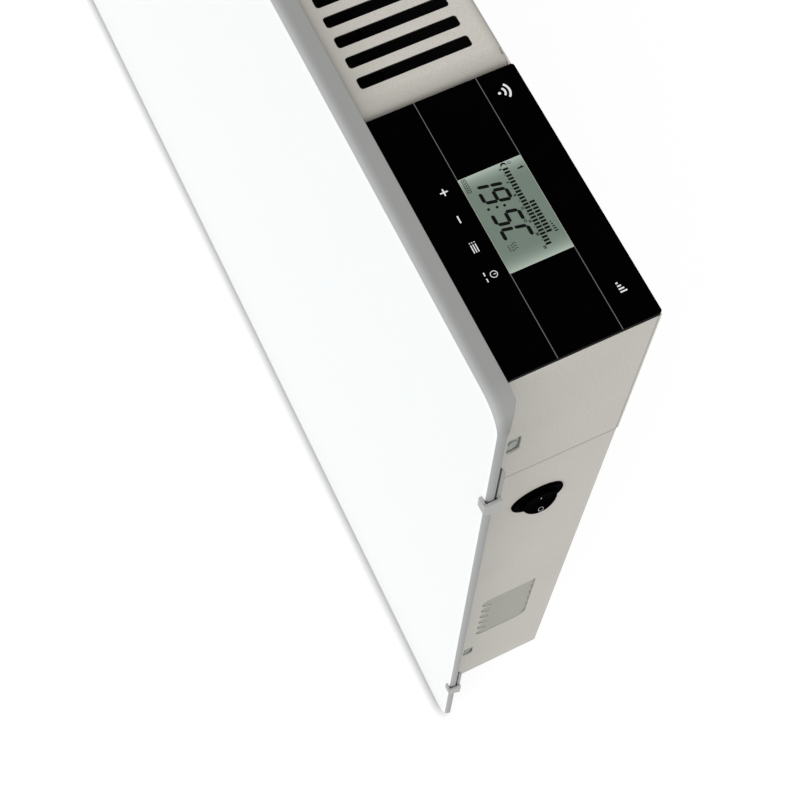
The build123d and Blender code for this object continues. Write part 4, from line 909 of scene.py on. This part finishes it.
clip_places = [((side * CLIP_SCREW_X, CLIP_SCREW_Y, z), (0, 1, 0))
               for side in (-1, 1) for z in CLIP_SCREW_Z]
rear_places = [((side * REAR_SIDE_X, rear_face_y, z), (0, -1, 0))
               for side in (-1, 1) for z in REAR_SIDE_Z]
rear_places += [((x, rear_face_y, z), (0, -1, 0)) for x in REAR_ROW_X for z in REAR_ROW_Z]
lug_places = [((side * LUG_SCREW_X, LUG_SCREW_Y, z), (-side, 0, 0))
              for side in (-1, 1) for z in LUG_SCREW_Z]
screws("clip_screw_set", "clip_screws", clip_places, CASING_SCREW, plated)
screws("rear_screw_set", "rear_screws", rear_places, CASING_SCREW, plated)
screws("lug_screw_set", "lug_screws", lug_places, LUG_SCREW, lug_coat)


# ---- Steel of the wall frame -------------------------------------------------------------------
# Channel frame of galvanised sheet, folded and welded, which is screwed to the wall. Its zinc
# shows as dull, slightly bluish patches.
SPANGLES_PER_METRE = 95.0
SPANGLE_SHARE = 0.35

galvanised, tree, shader, place = finish("frame_steel", Metallic=0.85)
spangle = add(tree, "TexVoronoi", {"Vector": place, "Scale": SPANGLES_PER_METRE}).outputs["Color"]
patch = add(tree, "SeparateColor", {0: spangle}).outputs["Red"]
zinc = speckle(tree, place, (150, 153, 156), (184, 187, 190), grains=500.0, contrast=0.9,
               roughness=0.46, spread=0.3)
rim = soften(tree, 0.3)
spangled = calc(tree, "MULTIPLY", patch, SPANGLE_SHARE)
plug(tree, shader, Base_Color=blend_colour(tree, spangled, zinc["Color"], shade((200, 204, 208))),
     Roughness=zinc["Roughness"],
     Normal=raised(tree, zinc["Height"], strength=0.15, depth=0.03, normal=rim["Normal"]))
coat(galvanised, "wall_frame", "hook_plates", "cutout_bracket")


# ---- Heating chamber ---------------------------------------------------------------------------
# Sheets near black, as painted shade inside the heater, stand round a heating rod of bright
# steel with pressed-on aluminium fins. The switch's and the supply's terminals are brass.
# Near black as painted shade inside the heater, so that the slots look black.
chamber, tree, shader, *_ = powder_coat("chamber_black", (4, 4, 4), (9, 9, 9), grains=900.0, contrast=1.4,
                                        roughness=0.8, radius=0.3, strength=0.3)
shader.inputs["Specular IOR Level"].default_value = 0.1
coat(chamber, "baffle_right", "baffle_left", "air_deflector")


def metal(label, dark, light, roughness, stretch):
    """Bare metal drawn or rolled along X: the noise is stretched along that axis."""
    made, tree, shader, place = finish(label, Metallic=1.0)
    drawn = add(tree, "Mapping", {"Vector": place, "Scale": (stretch, 1, 1)}).outputs[0]
    streaks = speckle(tree, drawn, dark, light, grains=1600.0, contrast=1.2, roughness=roughness,
                      spread=0.25)
    rim = soften(tree, 0.2)
    plug(tree, shader, Base_Color=streaks["Color"], Roughness=streaks["Roughness"],
         Normal=raised(tree, streaks["Height"], strength=0.2, depth=0.02, normal=rim["Normal"]))
    return made


coat(metal("fin_aluminium", (150, 150, 150), (190, 190, 191), roughness=0.4, stretch=0.04),
     "element_fins", "heat_shield")
coat(metal("rod_steel", (120, 118, 115), (160, 158, 155), roughness=0.38, stretch=0.06),
     "element_rod", "overheat_cutouts", "radio_module", "board_screws")
coat(metal("terminal_brass", (176, 148, 88), (206, 178, 116), roughness=0.35, stretch=0.1),
     "switch_terminals", "terminal_screws", "earth_stud")


# ---- Plastics, ceramics and boards inside ------------------------------------------------------
# Natural white mouldings, fired white steatite, varnished windings, leads in a silicone
# cover and soft key pads. The two circuit boards are green, with paler tracks under a lacquer.
def dull(label, dark, light, grains, roughness, strength=0.25):
    """Dull moulded or fired surface with a fine grain."""
    return powder_coat(label, dark, light, grains, contrast=1.2, roughness=roughness, radius=0.25,
                       strength=strength)[0]


coat(dull("white_plastic", (206, 205, 200), (224, 223, 218), grains=1500.0, roughness=0.5),
     "board_spacers", "filter_capacitor", "lead_sockets", "terminal_block", "cord_clamp", "sensor_holder")
coat(dull("steatite", (214, 210, 200), (230, 227, 218), grains=2500.0, roughness=0.4),
     "element_bushes", "room_sensor")
coat(dull("wound_core", (84, 58, 30), (120, 84, 46), grains=1200.0, roughness=0.45, strength=0.5),
     "supply_transformer")
coat(dull("lead_silicone", (208, 206, 198), (222, 220, 212), grains=2000.0, roughness=0.6),
     "element_leads", "switch_leads", "sensor_lead")
coat(dull("pad_rubber", (34, 34, 34), (46, 46, 46), grains=2500.0, roughness=0.8), "touch_pads")

board, tree, shader, place = finish("board_green", Roughness=0.35)
tracks = add(tree, "TexBrick", {"Vector": place, "Scale": 160.0, "Color1": shade((20, 92, 52)),
                                "Color2": shade((16, 84, 47)), "Mortar": shade((34, 120, 72)),
                                "Mortar Size": 0.035}).outputs["Color"]
weave = speckle(tree, place, (200, 200, 200), (255, 255, 255), grains=1800.0, contrast=1.0,
                roughness=0.35, spread=0.2)
lacquer = add(tree, "VectorMath", {0: tracks, 1: weave["Color"]}, operation="MULTIPLY").outputs[0]
plug(tree, shader, Base_Color=lacquer, Roughness=weave["Roughness"],
     Normal=raised(tree, weave["Height"], strength=0.1, depth=0.02))
coat(board, "control_board", "supply_board")
